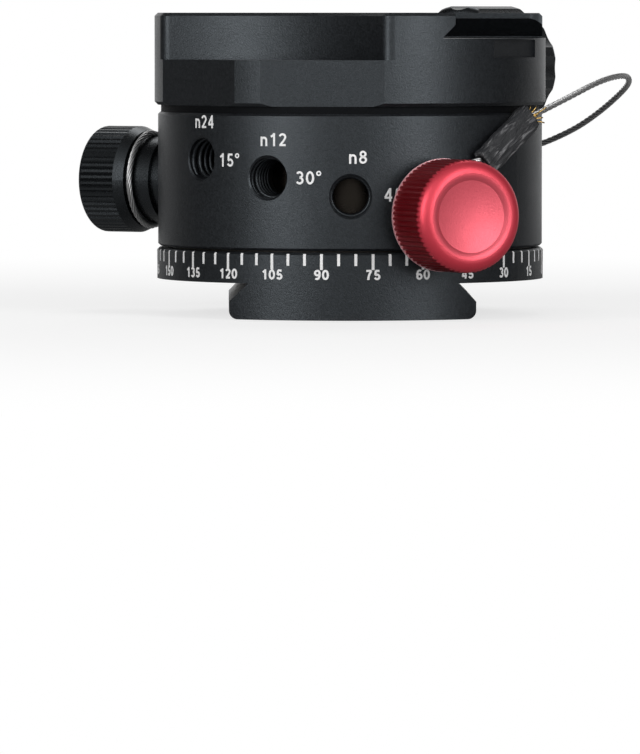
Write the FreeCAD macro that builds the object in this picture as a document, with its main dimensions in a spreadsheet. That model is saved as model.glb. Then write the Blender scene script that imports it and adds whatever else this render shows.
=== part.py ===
"""Panoramic tripod head: an indexing rotator on a dovetail foot, with a quick-release clamp on top.

Row frame in millimetres: +Z up along the pan axis, origin in the mouth of the tripod thread under the
foot, +X along the clamp's groove, +Y towards the moving jaw and its knob. An azimuth is counted from
the front (-Y) towards +X.
"""
import FreeCAD, Part
import math
import os

import Sketcher

# Driving dimensions, in millimetres and degrees.
SIZES = {
    # dovetail foot and graduated ring
    "foot_width": 38.0, "foot_flank": 2.65, "foot_edge": 1.3, "foot_height": 5.55, "foot_azimuth": 32.0,
    "ring_radius": 30.2, "ring_top": 10.35, "ring_edge": 0.35,
    # tripod thread bush and the drum's screws
    "thread_radius": 4.0, "bush_wall": 2.5, "bush_flange": 2.0, "bush_flange_height": 2.0,
    "drum_screw_circle": 15.0, "drum_screw_radius": 1.5, "drum_screw_head_radius": 2.75,
    "drum_screw_head_height": 3.0, "drum_screw_reach": 6.5, "drum_screw_key": 1.25,
    # detent drum
    "drum_radius": 21.9, "drum_height": 15.5, "drum_web": 2.0, "drum_web_bore": 5.2, "drum_bore": 9.5,
    "drum_shoulder": 4.65, "spigot_height": 2.0, "spigot_shoulder": 3.25, "neck_height": 1.75,
    "dimple_radius": 1.4, "dimple_point_radius": 0.3, "dimple_depth": 1.05,
    # slip rings, running gaps and retaining nut
    "pan_gap": 0.3, "running_gap": 0.08, "seat_gap": 0.05, "slip_ring_inset": 1.02, "slip_ring_width": 5.0,
    "slip_ring_thickness": 0.5, "slip_ring_stand": 0.25, "slip_gap": 0.03,
    "upper_slip_thickness": 0.6, "upper_slip_inset": 0.7,
    "nut_inset": 0.6, "nut_height": 1.5, "nut_slot_width": 3.0, "nut_slot_depth": 2.5,
    # housing
    "housing_radius": 30.06, "housing_height": 20.9, "housing_edge": 0.35, "ledge_height": 1.2,
    "ledge_gap": 0.25, "plate_seat": 3.32, "plate_depth": 1.6,
    # index holes, from the 24-stop hole round to the 4-stop hole
    "index_thread_radius": 3.13, "index_mouth_depth": 0.35, "index_step": 25.1,
    "index_first_azimuth": -19.0, "index_first_rise": 13.9, "index_drop": 2.8,
    # neck plate and its screws
    "flange_radius": 29.6, "flange_height": 1.1, "plate_screw_radius": 1.2,
    "plate_screw_head_radius": 2.2, "plate_screw_length": 6.0,
    # clamp
    "clamp_radius": 30.6, "clamp_height": 14.35, "clamp_edge": 0.5, "lip_half_gap": 13.0,
    "lip_land": 0.9, "undercut": 2.8, "floor_relief": 0.25, "lead_in": 2.4,
    "jaw_parting": 16.0, "jaw_gap": 0.15, "jaw_inset": 0.5, "floor_gap": 0.1,
    "scallop_radius": 44.0, "scallop_near": 18.0, "ledge_drop": 7.25, "scallop_corner": 1.9,
    "flat_inset": 1.54, "flat_azimuth": 22.6, "end_recess_half": 6.2, "end_recess_shift": 0.55,
    "end_recess_low": 7.45, "end_recess_high": 10.15, "end_recess_inset": 0.8,
    "clamp_screw_offset": 12.5, "clamp_screw_back": 3.0, "clamp_screw_radius": 2.0,
    "clamp_screw_head_radius": 4.0, "clamp_screw_tip": 0.15, "clamp_screw_key": 1.25,
    # moving jaw's pins, springs and screw
    "pin_offset": 18.0, "pin_height": 4.85, "pin_radius": 2.0, "pin_in_jaw": 5.85,
    "pin_in_base": 22.0, "pin_bore_end": 24.0,
    "spring_offset": 9.0, "spring_radius": 2.2, "spring_wire": 0.25, "spring_bore_radius": 2.6,
    "spring_in_base": 10.0, "spring_in_jaw": 8.8, "spring_turns": 6, "spring_end_gap": 0.1,
    "screw_height": 5.45, "screw_radius": 2.95, "thread_gap": 0.05, "screw_clear_gap": 0.3,
    "screw_in_base": 24.0, "screw_bore_end": 28.0,
    "washer_radius": 6.0, "washer_thickness": 0.9, "spot_radius": 7.0, "spot_depth": 0.5,
    # clamp knob
    "knob_radius": 10.1, "knob_length": 18.4, "knob_hub_radius": 6.0, "knob_hub_length": 2.7,
    "knob_round": 1.6, "knob_lobes": 12, "knob_lobe_radius": 3.4, "knob_lobe_depth": 0.75,
    "knob_face_radius": 6.2, "knob_face_depth": 0.5, "knob_screw_depth": 12.0, "knob_gap": 0.1,
    "knob_swing_gap": 0.5,
    # lock knob, screw and pad
    "lock_azimuth": -90.0, "lock_rise": 9.85, "lock_pad_thickness": 2.5, "lock_pad_gap": 0.45,
    "lock_pad_slack": 0.05, "lock_knob_gap": 1.34, "lock_root_radius": 6.2, "lock_root_length": 1.8,
    "lock_neck_radius": 6.9, "lock_neck_length": 4.1, "lock_cone_radius": 7.8, "lock_cone_length": 1.6,
    "lock_head_radius": 8.45, "lock_head_length": 6.7, "lock_round": 0.8, "lock_flutes": 55,
    "lock_flute_half": 0.3, "lock_flute_depth": 0.28, "lock_face": 2.6,
    # index plunger
    "index_nose_radius": 1.5, "index_tip_gap": 0.15, "index_collar_radius": 1.8,
    "index_collar_length": 1.3, "index_collar_travel": 0.85, "index_tail_radius": 1.0,
    "index_tail_length": 2.0, "index_bore_radius": 1.9, "index_lip_length": 1.2,
    "index_lip_from": 0.7, "index_neck_radius": 5.0, "index_neck_length": 2.46,
    "index_shank_radius": 4.0, "index_shank_length": 3.4, "index_cap": 1.0, "index_spring_radius": 1.7,
    "index_spring_wire": 0.2, "index_spring_turns": 6,
    # index knob, measured along its axis from the back
    "index_band_radius": 8.3, "index_band_length": 0.5, "index_ridge_radius": 8.65,
    "index_ridge_length": 0.25, "index_knob_radius": 8.6, "index_rim_from": 8.8, "index_rim_round": 1.96,
    "index_rim_fall": 0.366, "index_dish_radius": 5.5, "index_dish_depth": 0.45, "index_dish_round": 33.8,
    "index_flutes": 64, "index_flute_half": 0.32, "index_flute_depth": 0.26,
    # wire lanyard
    "wire_diameter": 0.95, "loop_radius": 6.2, "lock_ring_radius": 7.6, "lock_ring_inset": 1.05,
    "sleeve_width": 4.1, "sleeve_thickness": 2.6, "sleeve_round": 1.4, "tail_spread": 0.75,
}

doc = FreeCAD.newDocument("panoramic_head")
sheet = doc.addObject("Spreadsheet::Sheet", "Sizes")
Z_AXIS = FreeCAD.Vector(0, 0, 1)
nodes = []


class Size:
    """A number together with the formula that ties it to the sheet."""

    def __init__(self, value, formula):
        self.value = value
        self.formula = formula

    def joined(self, other, sign, flip=False):
        there = other if isinstance(other, Size) else Size(float(other), repr(float(other)))
        left, right = (there, self) if flip else (self, there)
        values = {"+": left.value + right.value, "-": left.value - right.value,
                  "*": left.value * right.value}
        value = left.value / right.value if sign == "/" else values[sign]
        return Size(value, f"({left.formula} {sign} {right.formula})")

    def __add__(self, other):
        return self.joined(other, "+")

    __radd__ = __add__

    def __sub__(self, other):
        return self.joined(other, "-")

    def __rsub__(self, other):
        return self.joined(other, "-", flip=True)

    def __mul__(self, other):
        return self.joined(other, "*")

    __rmul__ = __mul__

    def __truediv__(self, other):
        return self.joined(other, "/")

    def __neg__(self):
        return self * -1

    def __float__(self):
        return float(self.value)


class Sizes:
    """Every driving dimension by its name."""


def fill_sheet():
    sizes = Sizes()
    for row, (name, value) in enumerate(SIZES.items(), start=1):
        sheet.set(f"A{row}", name)
        sheet.set(f"B{row}", str(value))
        sheet.setAlias(f"B{row}", name)
        setattr(sizes, name, Size(float(value), f"Sizes.{name}"))
    doc.recompute()
    return sizes


d = fill_sheet()
ZERO = d.ring_radius * 0


def bind(item, prop, size):
    """Sets a property from a size, by expression where the size has a formula."""
    if isinstance(size, Size):
        item.setExpression(prop, size.formula)
    else:
        setattr(item, prop, size)


# ---------------------------------------------------------------- bodies and features

def new_body(name):
    body = doc.addObject("PartDesign::Body", name)
    body.Label = name
    nodes.append(body)
    return body


def origin_item(body, role):
    return next(item for item in body.Origin.OriginFeatures if item.Role == role)


def new_sketch(body, name, role="XY_Plane", lift=None, turn=0.0):
    """A sketch on an origin plane, lifted along its normal and turned about its upright axis."""
    sketch = body.newObject("Sketcher::SketchObject", name)
    sketch.AttachmentSupport = (origin_item(body, role), [""])
    sketch.MapMode = "FlatFace"
    turned = FreeCAD.Rotation(FreeCAD.Vector(0, 1, 0), float(turn))
    raised = turned.multVec(FreeCAD.Vector(0, 0, float(lift or 0)))
    sketch.AttachmentOffset = FreeCAD.Placement(raised, turned)
    if isinstance(lift, Size) and not float(turn):
        sketch.setExpression("AttachmentOffset.Base.z", lift.formula)
    return sketch


def fix(sketch, kind, geometry, point, size, axis):
    """Ties one coordinate of a sketch point to a size, or puts it on the axis when it is nought."""
    if abs(float(size)) < 1e-9:
        sketch.addConstraint(Sketcher.Constraint("PointOnObject", geometry, point, axis))
        return
    index = sketch.addConstraint(Sketcher.Constraint(kind, -1, 1, geometry, point, float(size)))
    if isinstance(size, Size):
        sketch.setExpression(f"Constraints[{index}]", size.formula)


def fix_point(sketch, geometry, point, across, up):
    fix(sketch, "DistanceX", geometry, point, across, -2)
    fix(sketch, "DistanceY", geometry, point, up, -1)


def arc_between(here, there, radius):
    """The shorter arc from here to there. A positive radius turns left on the way."""
    chord = there - here
    left = FreeCAD.Vector(-chord.y, chord.x, 0).normalize()
    reach = math.sqrt(max(radius ** 2 - (chord.Length / 2) ** 2, 0))
    centre = (here + there) * 0.5 + left * math.copysign(reach, radius)
    start, end = (here, there) if radius > 0 else (there, here)
    angles = [math.atan2(p.y - centre.y, p.x - centre.x) for p in (start, end)]
    if angles[1] < angles[0]:
        angles[1] += 2 * math.pi
    return Part.ArcOfCircle(Part.Circle(centre, Z_AXIS, abs(radius)), *angles)


def outline(sketch, corners):
    """A closed outline. A corner is (across, up) or (across, up, radius of the arc that follows)."""
    points = [FreeCAD.Vector(float(c[0]), float(c[1]), 0) for c in corners]
    ends = []
    for index, corner in enumerate(corners):
        here, there = points[index], points[(index + 1) % len(points)]
        if len(corner) == 3:
            number = sketch.addGeometry(arc_between(here, there, float(corner[2])), False)
            ends.append((number, 1, 2) if float(corner[2]) > 0 else (number, 2, 1))
            tie = sketch.addConstraint(Sketcher.Constraint("Radius", number, abs(float(corner[2]))))
            if isinstance(corner[2], Size):
                sign = "" if float(corner[2]) > 0 else "-"
                sketch.setExpression(f"Constraints[{tie}]", sign + corner[2].formula)
        else:
            ends.append((sketch.addGeometry(Part.LineSegment(here, there), False), 1, 2))
    for index, corner in enumerate(corners):
        number, start, _ = ends[index]
        before, _, finish = ends[index - 1]
        sketch.addConstraint(Sketcher.Constraint("Coincident", before, finish, number, start))
        fix_point(sketch, number, start, corner[0], corner[1])


def circle(sketch, across, up, radius):
    middle = FreeCAD.Vector(float(across), float(up), 0)
    number = sketch.addGeometry(Part.Circle(middle, Z_AXIS, float(radius)), False)
    fix_point(sketch, number, 3, across, up)
    tie = sketch.addConstraint(Sketcher.Constraint("Radius", number, float(radius)))
    if isinstance(radius, Size):
        sketch.setExpression(f"Constraints[{tie}]", radius.formula)


def rectangle(sketch, low, high):
    outline(sketch, [(low[0], low[1]), (high[0], low[1]), (high[0], high[1]), (low[0], high[1])])


def turn_profile(body, name, corners, kind="PartDesign::Revolution"):
    """Turns an outline of (radius, height) corners about the body's Z axis."""
    sketch = new_sketch(body, name + "_profile", "XZ_Plane")
    outline(sketch, corners)
    feature = body.newObject(kind, name)
    feature.Profile = sketch
    feature.ReferenceAxis = (origin_item(body, "Z_Axis"), [""])
    feature.Angle = 360
    doc.recompute()
    return feature


def pad(body, name, sketch, length):
    feature = body.newObject("PartDesign::Pad", name)
    feature.Profile = sketch
    bind(feature, "Length", length)
    doc.recompute()
    return feature


def pocket(body, name, sketch, length=None, forward=True, both=False):
    """Cuts an outline along its normal (forward) or against it, to a depth or right through."""
    before = body.Shape.Volume
    feature = body.newObject("PartDesign::Pocket", name)
    feature.Profile = sketch
    feature.Reversed = forward
    feature.Midplane = both
    if length is None:
        feature.Type = "ThroughAll"
    else:
        bind(feature, "Length", length)
    doc.recompute()
    if not body.Shape.Volume < before - 1e-4:
        raise RuntimeError(f"{body.Label}: {name} cuts nothing")
    return feature


def cone_cut(body, name, role, turn, place, start_radius, end_radius, length):
    """Cuts a cone that opens along the plane's normal, from a place given in the plane's own axes."""
    before = body.Shape.Volume
    cone = body.newObject("PartDesign::SubtractiveCone", name)
    cone.AttachmentSupport = (origin_item(body, role), [""])
    cone.MapMode = "FlatFace"
    turned = FreeCAD.Rotation(FreeCAD.Vector(0, 1, 0), float(turn))
    raised = turned.multVec(FreeCAD.Vector(*(float(size) for size in place)))
    cone.AttachmentOffset = FreeCAD.Placement(raised, turned)
    bind(cone, "Radius1", start_radius)
    bind(cone, "Radius2", end_radius)
    bind(cone, "Height", length)
    doc.recompute()
    if not body.Shape.Volume < before - 1e-4:
        raise RuntimeError(f"{body.Label}: {name} cuts nothing")
    return cone


def round_pattern(body, name, feature, count):
    """Repeats a feature round the body's Z axis."""
    before = body.Shape.Volume
    pattern = body.newObject("PartDesign::PolarPattern", name)
    pattern.Originals = [feature]
    pattern.Axis = (origin_item(body, "Z_Axis"), [""])
    pattern.Angle = 360
    bind(pattern, "Occurrences", count)
    body.Tip = pattern
    doc.recompute()
    if not body.Shape.Volume < before - 1e-4:
        raise RuntimeError(f"{body.Label}: {name} repeats nothing")
    return pattern


def dress(body, name, kind, edges, size):
    """A fillet or chamfer on the edges that the test picks."""
    base = body.Tip
    names = [f"Edge{number}" for number, edge in enumerate(base.Shape.Edges, start=1) if edges(edge)]
    if not names:
        raise RuntimeError(f"{body.Label}: {name} finds no edge")
    feature = body.newObject("PartDesign::" + kind, name)
    feature.Base = (base, names)
    bind(feature, "Radius" if kind == "Fillet" else "Size", size)
    doc.recompute()
    return feature


def rim_at(radius, height):
    """Picks the round edge about the Z axis with this radius at this height."""
    def test(edge):
        curve = edge.Curve
        return (isinstance(curve, Part.Circle) and abs(curve.Radius - float(radius)) < 1e-4
                and abs(curve.Center.z - float(height)) < 1e-4
                and math.hypot(curve.Center.x, curve.Center.y) < 1e-4)
    return test


def upright_at(places):
    """Picks the straight upright edges that stand at one of these (x, y) places."""
    def test(edge):
        if not isinstance(edge.Curve, Part.Line):
            return False
        low, high = (v.Point for v in edge.Vertexes)
        if math.hypot(low.x - high.x, low.y - high.y) > 1e-4:
            return False
        return any(math.hypot(low.x - x, low.y - y) < 0.05 for x, y in places)
    return test


def outward(azimuth, height):
    """A placement that turns a piece's own Z axis outward at an azimuth and a height."""
    turned = FreeCAD.Rotation(float(azimuth), 0, 90)
    return FreeCAD.Placement(FreeCAD.Vector(0, 0, float(height)), turned)


def copies(name, source, placements):
    """One node that holds a piece at several places."""
    group = doc.addObject("Part::Feature", name)
    group.Label = name
    solids = []
    for placement in placements:
        solid = source.Shape.copy()
        solid.Placement = placement.multiply(solid.Placement)
        solids.append(solid)
    group.Shape = Part.makeCompound(solids)
    nodes.remove(source)
    nodes.append(group)
    return group


def first_place(radius, azimuth):
    """Across and up of a place on a circle about the pan axis."""
    angle = math.radians(azimuth)
    return radius * math.sin(angle), radius * -math.cos(angle)


def round_the_axis(radius, count, first):
    """Placements on a circle about the pan axis."""
    places = []
    for index in range(count):
        angle = math.radians(first + 360.0 * index / count)
        place = FreeCAD.Vector(float(radius) * math.sin(angle), -float(radius) * math.cos(angle), 0)
        places.append(FreeCAD.Placement(place, FreeCAD.Rotation()))
    return places


# ---------------------------------------------------------------- heights shared by the pieces

FAR = d.ring_radius * 2
PAST = 1.0                # how far an open cut runs past the face it starts from
DIAGONAL = 45.0           # degrees from the front of the first screw of a round of four

DRUM_BOTTOM = d.ring_top
DRUM_TOP = DRUM_BOTTOM + d.drum_height
SPIGOT_RADIUS = d.drum_radius - d.drum_shoulder
SPIGOT_TOP = DRUM_TOP + d.spigot_height
NECK_RADIUS = SPIGOT_RADIUS - d.spigot_shoulder
NECK_TOP = SPIGOT_TOP + d.neck_height
BUSH_RADIUS = d.thread_radius + d.bush_wall
DRUM_SCREWS = 4
DRUM_SCREW_AZIMUTH = DIAGONAL + SIZES["foot_azimuth"]

HOUSING_BOTTOM = d.ring_top + d.pan_gap
HOUSING_TOP = HOUSING_BOTTOM + d.housing_height
HOUSING_BORE = d.drum_radius + d.running_gap
LEDGE_BOTTOM = DRUM_TOP + d.ledge_gap
LEDGE_TOP = LEDGE_BOTTOM + d.ledge_height
PLATE_BOTTOM = HOUSING_TOP - d.plate_depth
RECESS_RADIUS = HOUSING_BORE + d.plate_seat
PLATE_SCREWS = 4
PLATE_SCREW_CIRCLE = HOUSING_BORE + d.plate_seat / 2
SLIP_RING_INNER = HOUSING_BORE + d.slip_ring_inset
SLIP_RING_OUTER = SLIP_RING_INNER + d.slip_ring_width
NUT_RADIUS = d.drum_radius - d.nut_inset

INDEX_STOPS = [24, 12, 8, 4]
PLUNGER = 3               # the hole that the plunger stands in
INDEX_AZIMUTHS = [d.index_first_azimuth + d.index_step * hole for hole in range(len(INDEX_STOPS))]
INDEX_HEIGHTS = [HOUSING_BOTTOM + d.index_first_rise - d.index_drop * hole
                 for hole in range(len(INDEX_STOPS))]
INDEX_SHOULDER = d.housing_radius + d.running_gap
INDEX_BACK = INDEX_SHOULDER + d.index_neck_length
INDEX_LIP_END = d.drum_radius + d.index_lip_from + d.index_lip_length
SPRING_SEAT = INDEX_BACK + d.index_shank_length - d.index_cap

LOCK_HEIGHT = HOUSING_BOTTOM + d.lock_rise
LOCK_PAD_START = d.drum_radius + d.lock_pad_gap
LOCK_ROOT = d.housing_radius + d.lock_knob_gap
LOCK_STEP = LOCK_ROOT + d.lock_root_length
LOCK_BACK = LOCK_STEP + d.lock_neck_length
LOCK_HEAD = LOCK_BACK + d.lock_cone_length
LOCK_END = LOCK_HEAD + d.lock_head_length
LOCK_SCREW_END = LOCK_END - d.lock_face

CLAMP_BOTTOM = HOUSING_TOP + d.flange_height
CLAMP_TOP = CLAMP_BOTTOM + d.clamp_height
LAND = CLAMP_TOP - d.lip_land
FLOOR = LAND - d.undercut - d.floor_relief
PIN_HEIGHT = CLAMP_BOTTOM + d.pin_height
SCREW_HEIGHT = CLAMP_BOTTOM + d.screw_height
SPOT_FACE = d.clamp_radius - d.jaw_inset - d.spot_depth
KNOB_HUB = SPOT_FACE + d.washer_thickness + d.knob_gap
KNOB_HEAD = max(KNOB_HUB + d.knob_hub_length, d.housing_radius + d.knob_swing_gap, key=float)


# ---------------------------------------------------------------- fixed base

def scale_base():
    """Dovetail foot and graduated ring, turned to one outside and milled to the dovetail."""
    body = new_body("scale_base")
    turn_profile(body, "blank", [
        (ZERO, ZERO), (d.ring_radius, ZERO), (d.ring_radius, d.ring_top), (ZERO, d.ring_top)])
    half = d.foot_width / 2
    neck = half - (d.foot_height - d.foot_flank)
    for side, name in ((1, "flank_right"), (-1, "flank_left")):
        sketch = new_sketch(body, name + "_cut", "XZ_Plane", turn=d.foot_azimuth)
        outline(sketch, [
            ((half - d.foot_edge) * side, -FAR), (FAR * side, -FAR), (FAR * side, d.foot_height),
            (neck * side, d.foot_height), (half * side, d.foot_flank),
            (half * side, d.foot_edge, d.foot_edge * -side), ((half - d.foot_edge) * side, ZERO)])
        pocket(body, name, sketch, both=True)
    sketch = new_sketch(body, "bush_seat_outline")
    circle(sketch, ZERO, ZERO, BUSH_RADIUS)
    pocket(body, "bush_seat", sketch)
    sketch = new_sketch(body, "flange_seat_outline", lift=d.ring_top - d.bush_flange_height)
    circle(sketch, ZERO, ZERO, BUSH_RADIUS + d.bush_flange)
    pocket(body, "flange_seat", sketch, d.bush_flange_height)
    seat_depth = d.slip_ring_thickness - d.slip_ring_stand
    turn_profile(body, "slip_groove", [
        (SLIP_RING_INNER, d.ring_top - seat_depth), (SLIP_RING_OUTER, d.ring_top - seat_depth),
        (SLIP_RING_OUTER, d.ring_top + PAST), (SLIP_RING_INNER, d.ring_top + PAST)], "PartDesign::Groove")
    across, up = first_place(d.drum_screw_circle, DRUM_SCREW_AZIMUTH)
    sketch = new_sketch(body, "screw_hole_outline")
    circle(sketch, across, up, d.drum_screw_radius + d.running_gap)
    hole = pocket(body, "screw_hole", sketch)
    round_pattern(body, "screw_holes", hole, DRUM_SCREWS)
    sketch = new_sketch(body, "counterbore_outline")
    circle(sketch, across, up, d.drum_screw_head_radius + d.running_gap * 2)
    bore = pocket(body, "counterbore", sketch, d.drum_screw_head_height + d.pan_gap)
    round_pattern(body, "counterbores", bore, DRUM_SCREWS)
    dress(body, "top_edge", "Chamfer", rim_at(d.ring_radius, d.ring_top), d.ring_edge)
    return body


def tripod_bush():
    """Flanged steel bush with the tripod thread."""
    body = new_body("tripod_bush")
    shoulder = d.ring_top - d.bush_flange_height
    turn_profile(body, "bush", [
        (d.thread_radius, ZERO), (BUSH_RADIUS, ZERO), (BUSH_RADIUS, shoulder),
        (BUSH_RADIUS + d.bush_flange, shoulder), (BUSH_RADIUS + d.bush_flange, d.ring_top),
        (d.thread_radius, d.ring_top)])


def drum_screws():
    """Cap screws from the foot's underside into the drum."""
    body = new_body("drum_screw")
    head_top = d.drum_screw_head_height + d.pan_gap
    turn_profile(body, "screw", [
        (ZERO, d.pan_gap), (d.drum_screw_head_radius, d.pan_gap), (d.drum_screw_head_radius, head_top),
        (d.drum_screw_radius, head_top), (d.drum_screw_radius, d.ring_top + d.drum_screw_reach),
        (ZERO, d.ring_top + d.drum_screw_reach)])
    hex_socket(body, d.drum_screw_key, d.pan_gap, d.drum_screw_head_height / 2)
    copies("drum_screws", body, round_the_axis(d.drum_screw_circle, DRUM_SCREWS, DRUM_SCREW_AZIMUTH))


def detent_drum():
    """Fixed drum with one row of conical dimples for each index hole."""
    body = new_body("detent_drum")
    turn_profile(body, "drum", [
        (d.drum_web_bore, DRUM_BOTTOM), (d.drum_radius, DRUM_BOTTOM), (d.drum_radius, DRUM_TOP),
        (SPIGOT_RADIUS, DRUM_TOP), (SPIGOT_RADIUS, SPIGOT_TOP), (NECK_RADIUS, SPIGOT_TOP),
        (NECK_RADIUS, NECK_TOP), (d.drum_bore, NECK_TOP), (d.drum_bore, DRUM_BOTTOM + d.drum_web),
        (d.drum_web_bore, DRUM_BOTTOM + d.drum_web)])
    sketch = new_sketch(body, "screw_hole_outline", lift=DRUM_BOTTOM)
    circle(sketch, *first_place(d.drum_screw_circle, DRUM_SCREW_AZIMUTH),
           d.drum_screw_radius + d.thread_gap)
    hole = pocket(body, "screw_hole", sketch, d.drum_screw_reach)
    round_pattern(body, "screw_holes", hole, DRUM_SCREWS)
    for hole, (stops, azimuth, height) in enumerate(zip(INDEX_STOPS, INDEX_AZIMUTHS, INDEX_HEIGHTS)):
        half_step = 0 if hole == PLUNGER else 180 / stops
        dimple_row(body, stops, azimuth + half_step, height)


def dimple_row(body, stops, azimuth, height):
    """A row of conical dimples at the height of one index hole, the first of them at an azimuth."""
    reach = d.dimple_depth + d.pan_gap
    slope = (d.dimple_radius - d.dimple_point_radius) / d.dimple_depth
    cone = cone_cut(body, f"dimple_{stops}", "XZ_Plane", azimuth,
                    (ZERO, height, d.drum_radius - d.dimple_depth), d.dimple_point_radius,
                    d.dimple_point_radius + slope * reach, reach)
    round_pattern(body, f"stops_{stops}", cone, stops)


def slip_rings():
    """Flat bearing rings, one under the housing and one under the retaining nut."""
    low = d.ring_top - d.slip_ring_thickness + d.slip_ring_stand
    body = new_body("lower_slip_ring")
    flat_ring(body, SLIP_RING_INNER + d.seat_gap, SLIP_RING_OUTER - d.seat_gap, low,
              d.slip_ring_thickness)
    body = new_body("upper_slip_ring")
    flat_ring(body, SPIGOT_RADIUS + d.seat_gap, d.drum_radius - d.upper_slip_inset,
              LEDGE_TOP + d.slip_gap, d.upper_slip_thickness)


def flat_ring(body, inner, outer, low, thickness):
    turn_profile(body, "ring", [(inner, low), (outer, low), (outer, low + thickness),
                                (inner, low + thickness)])


def retaining_nut():
    """Slotted nut on the drum's neck."""
    body = new_body("retaining_nut")
    low = LEDGE_TOP + d.slip_gap + d.upper_slip_thickness
    flat_ring(body, NECK_RADIUS + d.thread_gap, NUT_RADIUS, low, d.nut_height)
    sketch = new_sketch(body, "slot_outline", lift=low)
    rectangle(sketch, (-d.nut_slot_width / 2, NUT_RADIUS - d.nut_slot_depth),
              (d.nut_slot_width / 2, FAR))
    slot = pocket(body, "slot", sketch, d.nut_height * 2)
    round_pattern(body, "slots", slot, 4)


# ---------------------------------------------------------------- rotor

def housing():
    """Rotor housing with threaded index holes stepping down round its front."""
    body = new_body("housing")
    ledge_bore = SPIGOT_RADIUS + d.running_gap
    turn_profile(body, "shell", [
        (HOUSING_BORE, HOUSING_BOTTOM), (d.housing_radius, HOUSING_BOTTOM),
        (d.housing_radius, HOUSING_TOP), (RECESS_RADIUS, HOUSING_TOP),
        (RECESS_RADIUS, PLATE_BOTTOM), (HOUSING_BORE, PLATE_BOTTOM), (HOUSING_BORE, LEDGE_TOP),
        (ledge_bore, LEDGE_TOP), (ledge_bore, LEDGE_BOTTOM), (HOUSING_BORE, LEDGE_BOTTOM)])
    reach = (d.index_mouth_depth + d.pan_gap) * 2
    inner = d.index_thread_radius - d.pan_gap
    for stops, azimuth, height in zip(INDEX_STOPS, INDEX_AZIMUTHS, INDEX_HEIGHTS):
        cone_cut(body, f"mouth_{stops}", "XZ_Plane", azimuth,
                 (ZERO, height, d.housing_radius - d.index_mouth_depth - d.pan_gap), inner,
                 inner + reach, reach)
        radial_hole(body, f"index_hole_{stops}", azimuth, height, d.index_thread_radius)
    radial_hole(body, "lock_hole", d.lock_azimuth, LOCK_HEIGHT, d.screw_radius + d.thread_gap)
    sketch = new_sketch(body, "plate_screw_outline", lift=PLATE_BOTTOM)
    circle(sketch, *first_place(PLATE_SCREW_CIRCLE, DIAGONAL), d.plate_screw_radius + d.thread_gap)
    hole = pocket(body, "plate_screw_hole", sketch, d.plate_screw_length, forward=False)
    round_pattern(body, "plate_screw_holes", hole, PLATE_SCREWS)
    dress(body, "edges", "Chamfer",
          lambda edge: rim_at(d.housing_radius, HOUSING_TOP)(edge)
          or rim_at(d.housing_radius, HOUSING_BOTTOM)(edge), d.housing_edge)


def radial_hole(body, name, azimuth, height, radius):
    """A round hole through the housing's wall."""
    start = HOUSING_BORE - d.pan_gap
    sketch = new_sketch(body, name + "_outline", "XZ_Plane", start, azimuth)
    circle(sketch, ZERO, height, radius)
    pocket(body, name, sketch, FAR)


def neck_plate():
    """Flanged plate that is let into the top of the housing and carries the clamp."""
    body = new_body("neck_plate")
    edge = RECESS_RADIUS - d.seat_gap
    low = PLATE_BOTTOM + d.seat_gap
    turn_profile(body, "plate", [
        (ZERO, low), (edge, low), (edge, HOUSING_TOP), (d.flange_radius, HOUSING_TOP),
        (d.flange_radius, CLAMP_BOTTOM), (ZERO, CLAMP_BOTTOM)])
    for side, name in ((1, "right"), (-1, "left")):
        sketch = new_sketch(body, f"clamp_screw_{name}_outline", lift=PLATE_BOTTOM)
        circle(sketch, d.clamp_screw_offset * side, -d.clamp_screw_back,
               d.clamp_screw_radius + d.thread_gap)
        pocket(body, f"clamp_screw_{name}", sketch, FAR)
    place = first_place(PLATE_SCREW_CIRCLE, DIAGONAL)
    sketch = new_sketch(body, "plate_screw_outline", lift=PLATE_BOTTOM)
    circle(sketch, *place, d.plate_screw_radius + d.running_gap)
    hole = pocket(body, "plate_screw_hole", sketch, FAR)
    round_pattern(body, "plate_screw_holes", hole, PLATE_SCREWS)
    depth = d.plate_screw_head_radius - d.plate_screw_radius
    sink = cone_cut(body, "plate_screw_sink", "XY_Plane", 0, (*place, CLAMP_BOTTOM - depth),
                    d.plate_screw_radius + d.running_gap, d.plate_screw_head_radius + d.running_gap, depth)
    round_pattern(body, "plate_screw_sinks", sink, PLATE_SCREWS)


def plate_screws():
    """Flat-headed screws that hold the neck plate."""
    body = new_body("plate_screw")
    top = CLAMP_BOTTOM - d.seat_gap
    tip = PLATE_BOTTOM - d.plate_screw_length + d.pan_gap
    depth = d.plate_screw_head_radius - d.plate_screw_radius
    turn_profile(body, "screw", [
        (ZERO, tip), (d.plate_screw_radius, tip), (d.plate_screw_radius, top - depth),
        (d.plate_screw_head_radius, top), (ZERO, top)])
    copies("plate_screws", body, round_the_axis(PLATE_SCREW_CIRCLE, PLATE_SCREWS, DIAGONAL))


# ---------------------------------------------------------------- clamp

def clamp_blank(name, radius, low, high):
    body = new_body(name)
    turn_profile(body, "blank", [(ZERO, low), (radius, low), (radius, high), (ZERO, high)])
    return body


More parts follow.
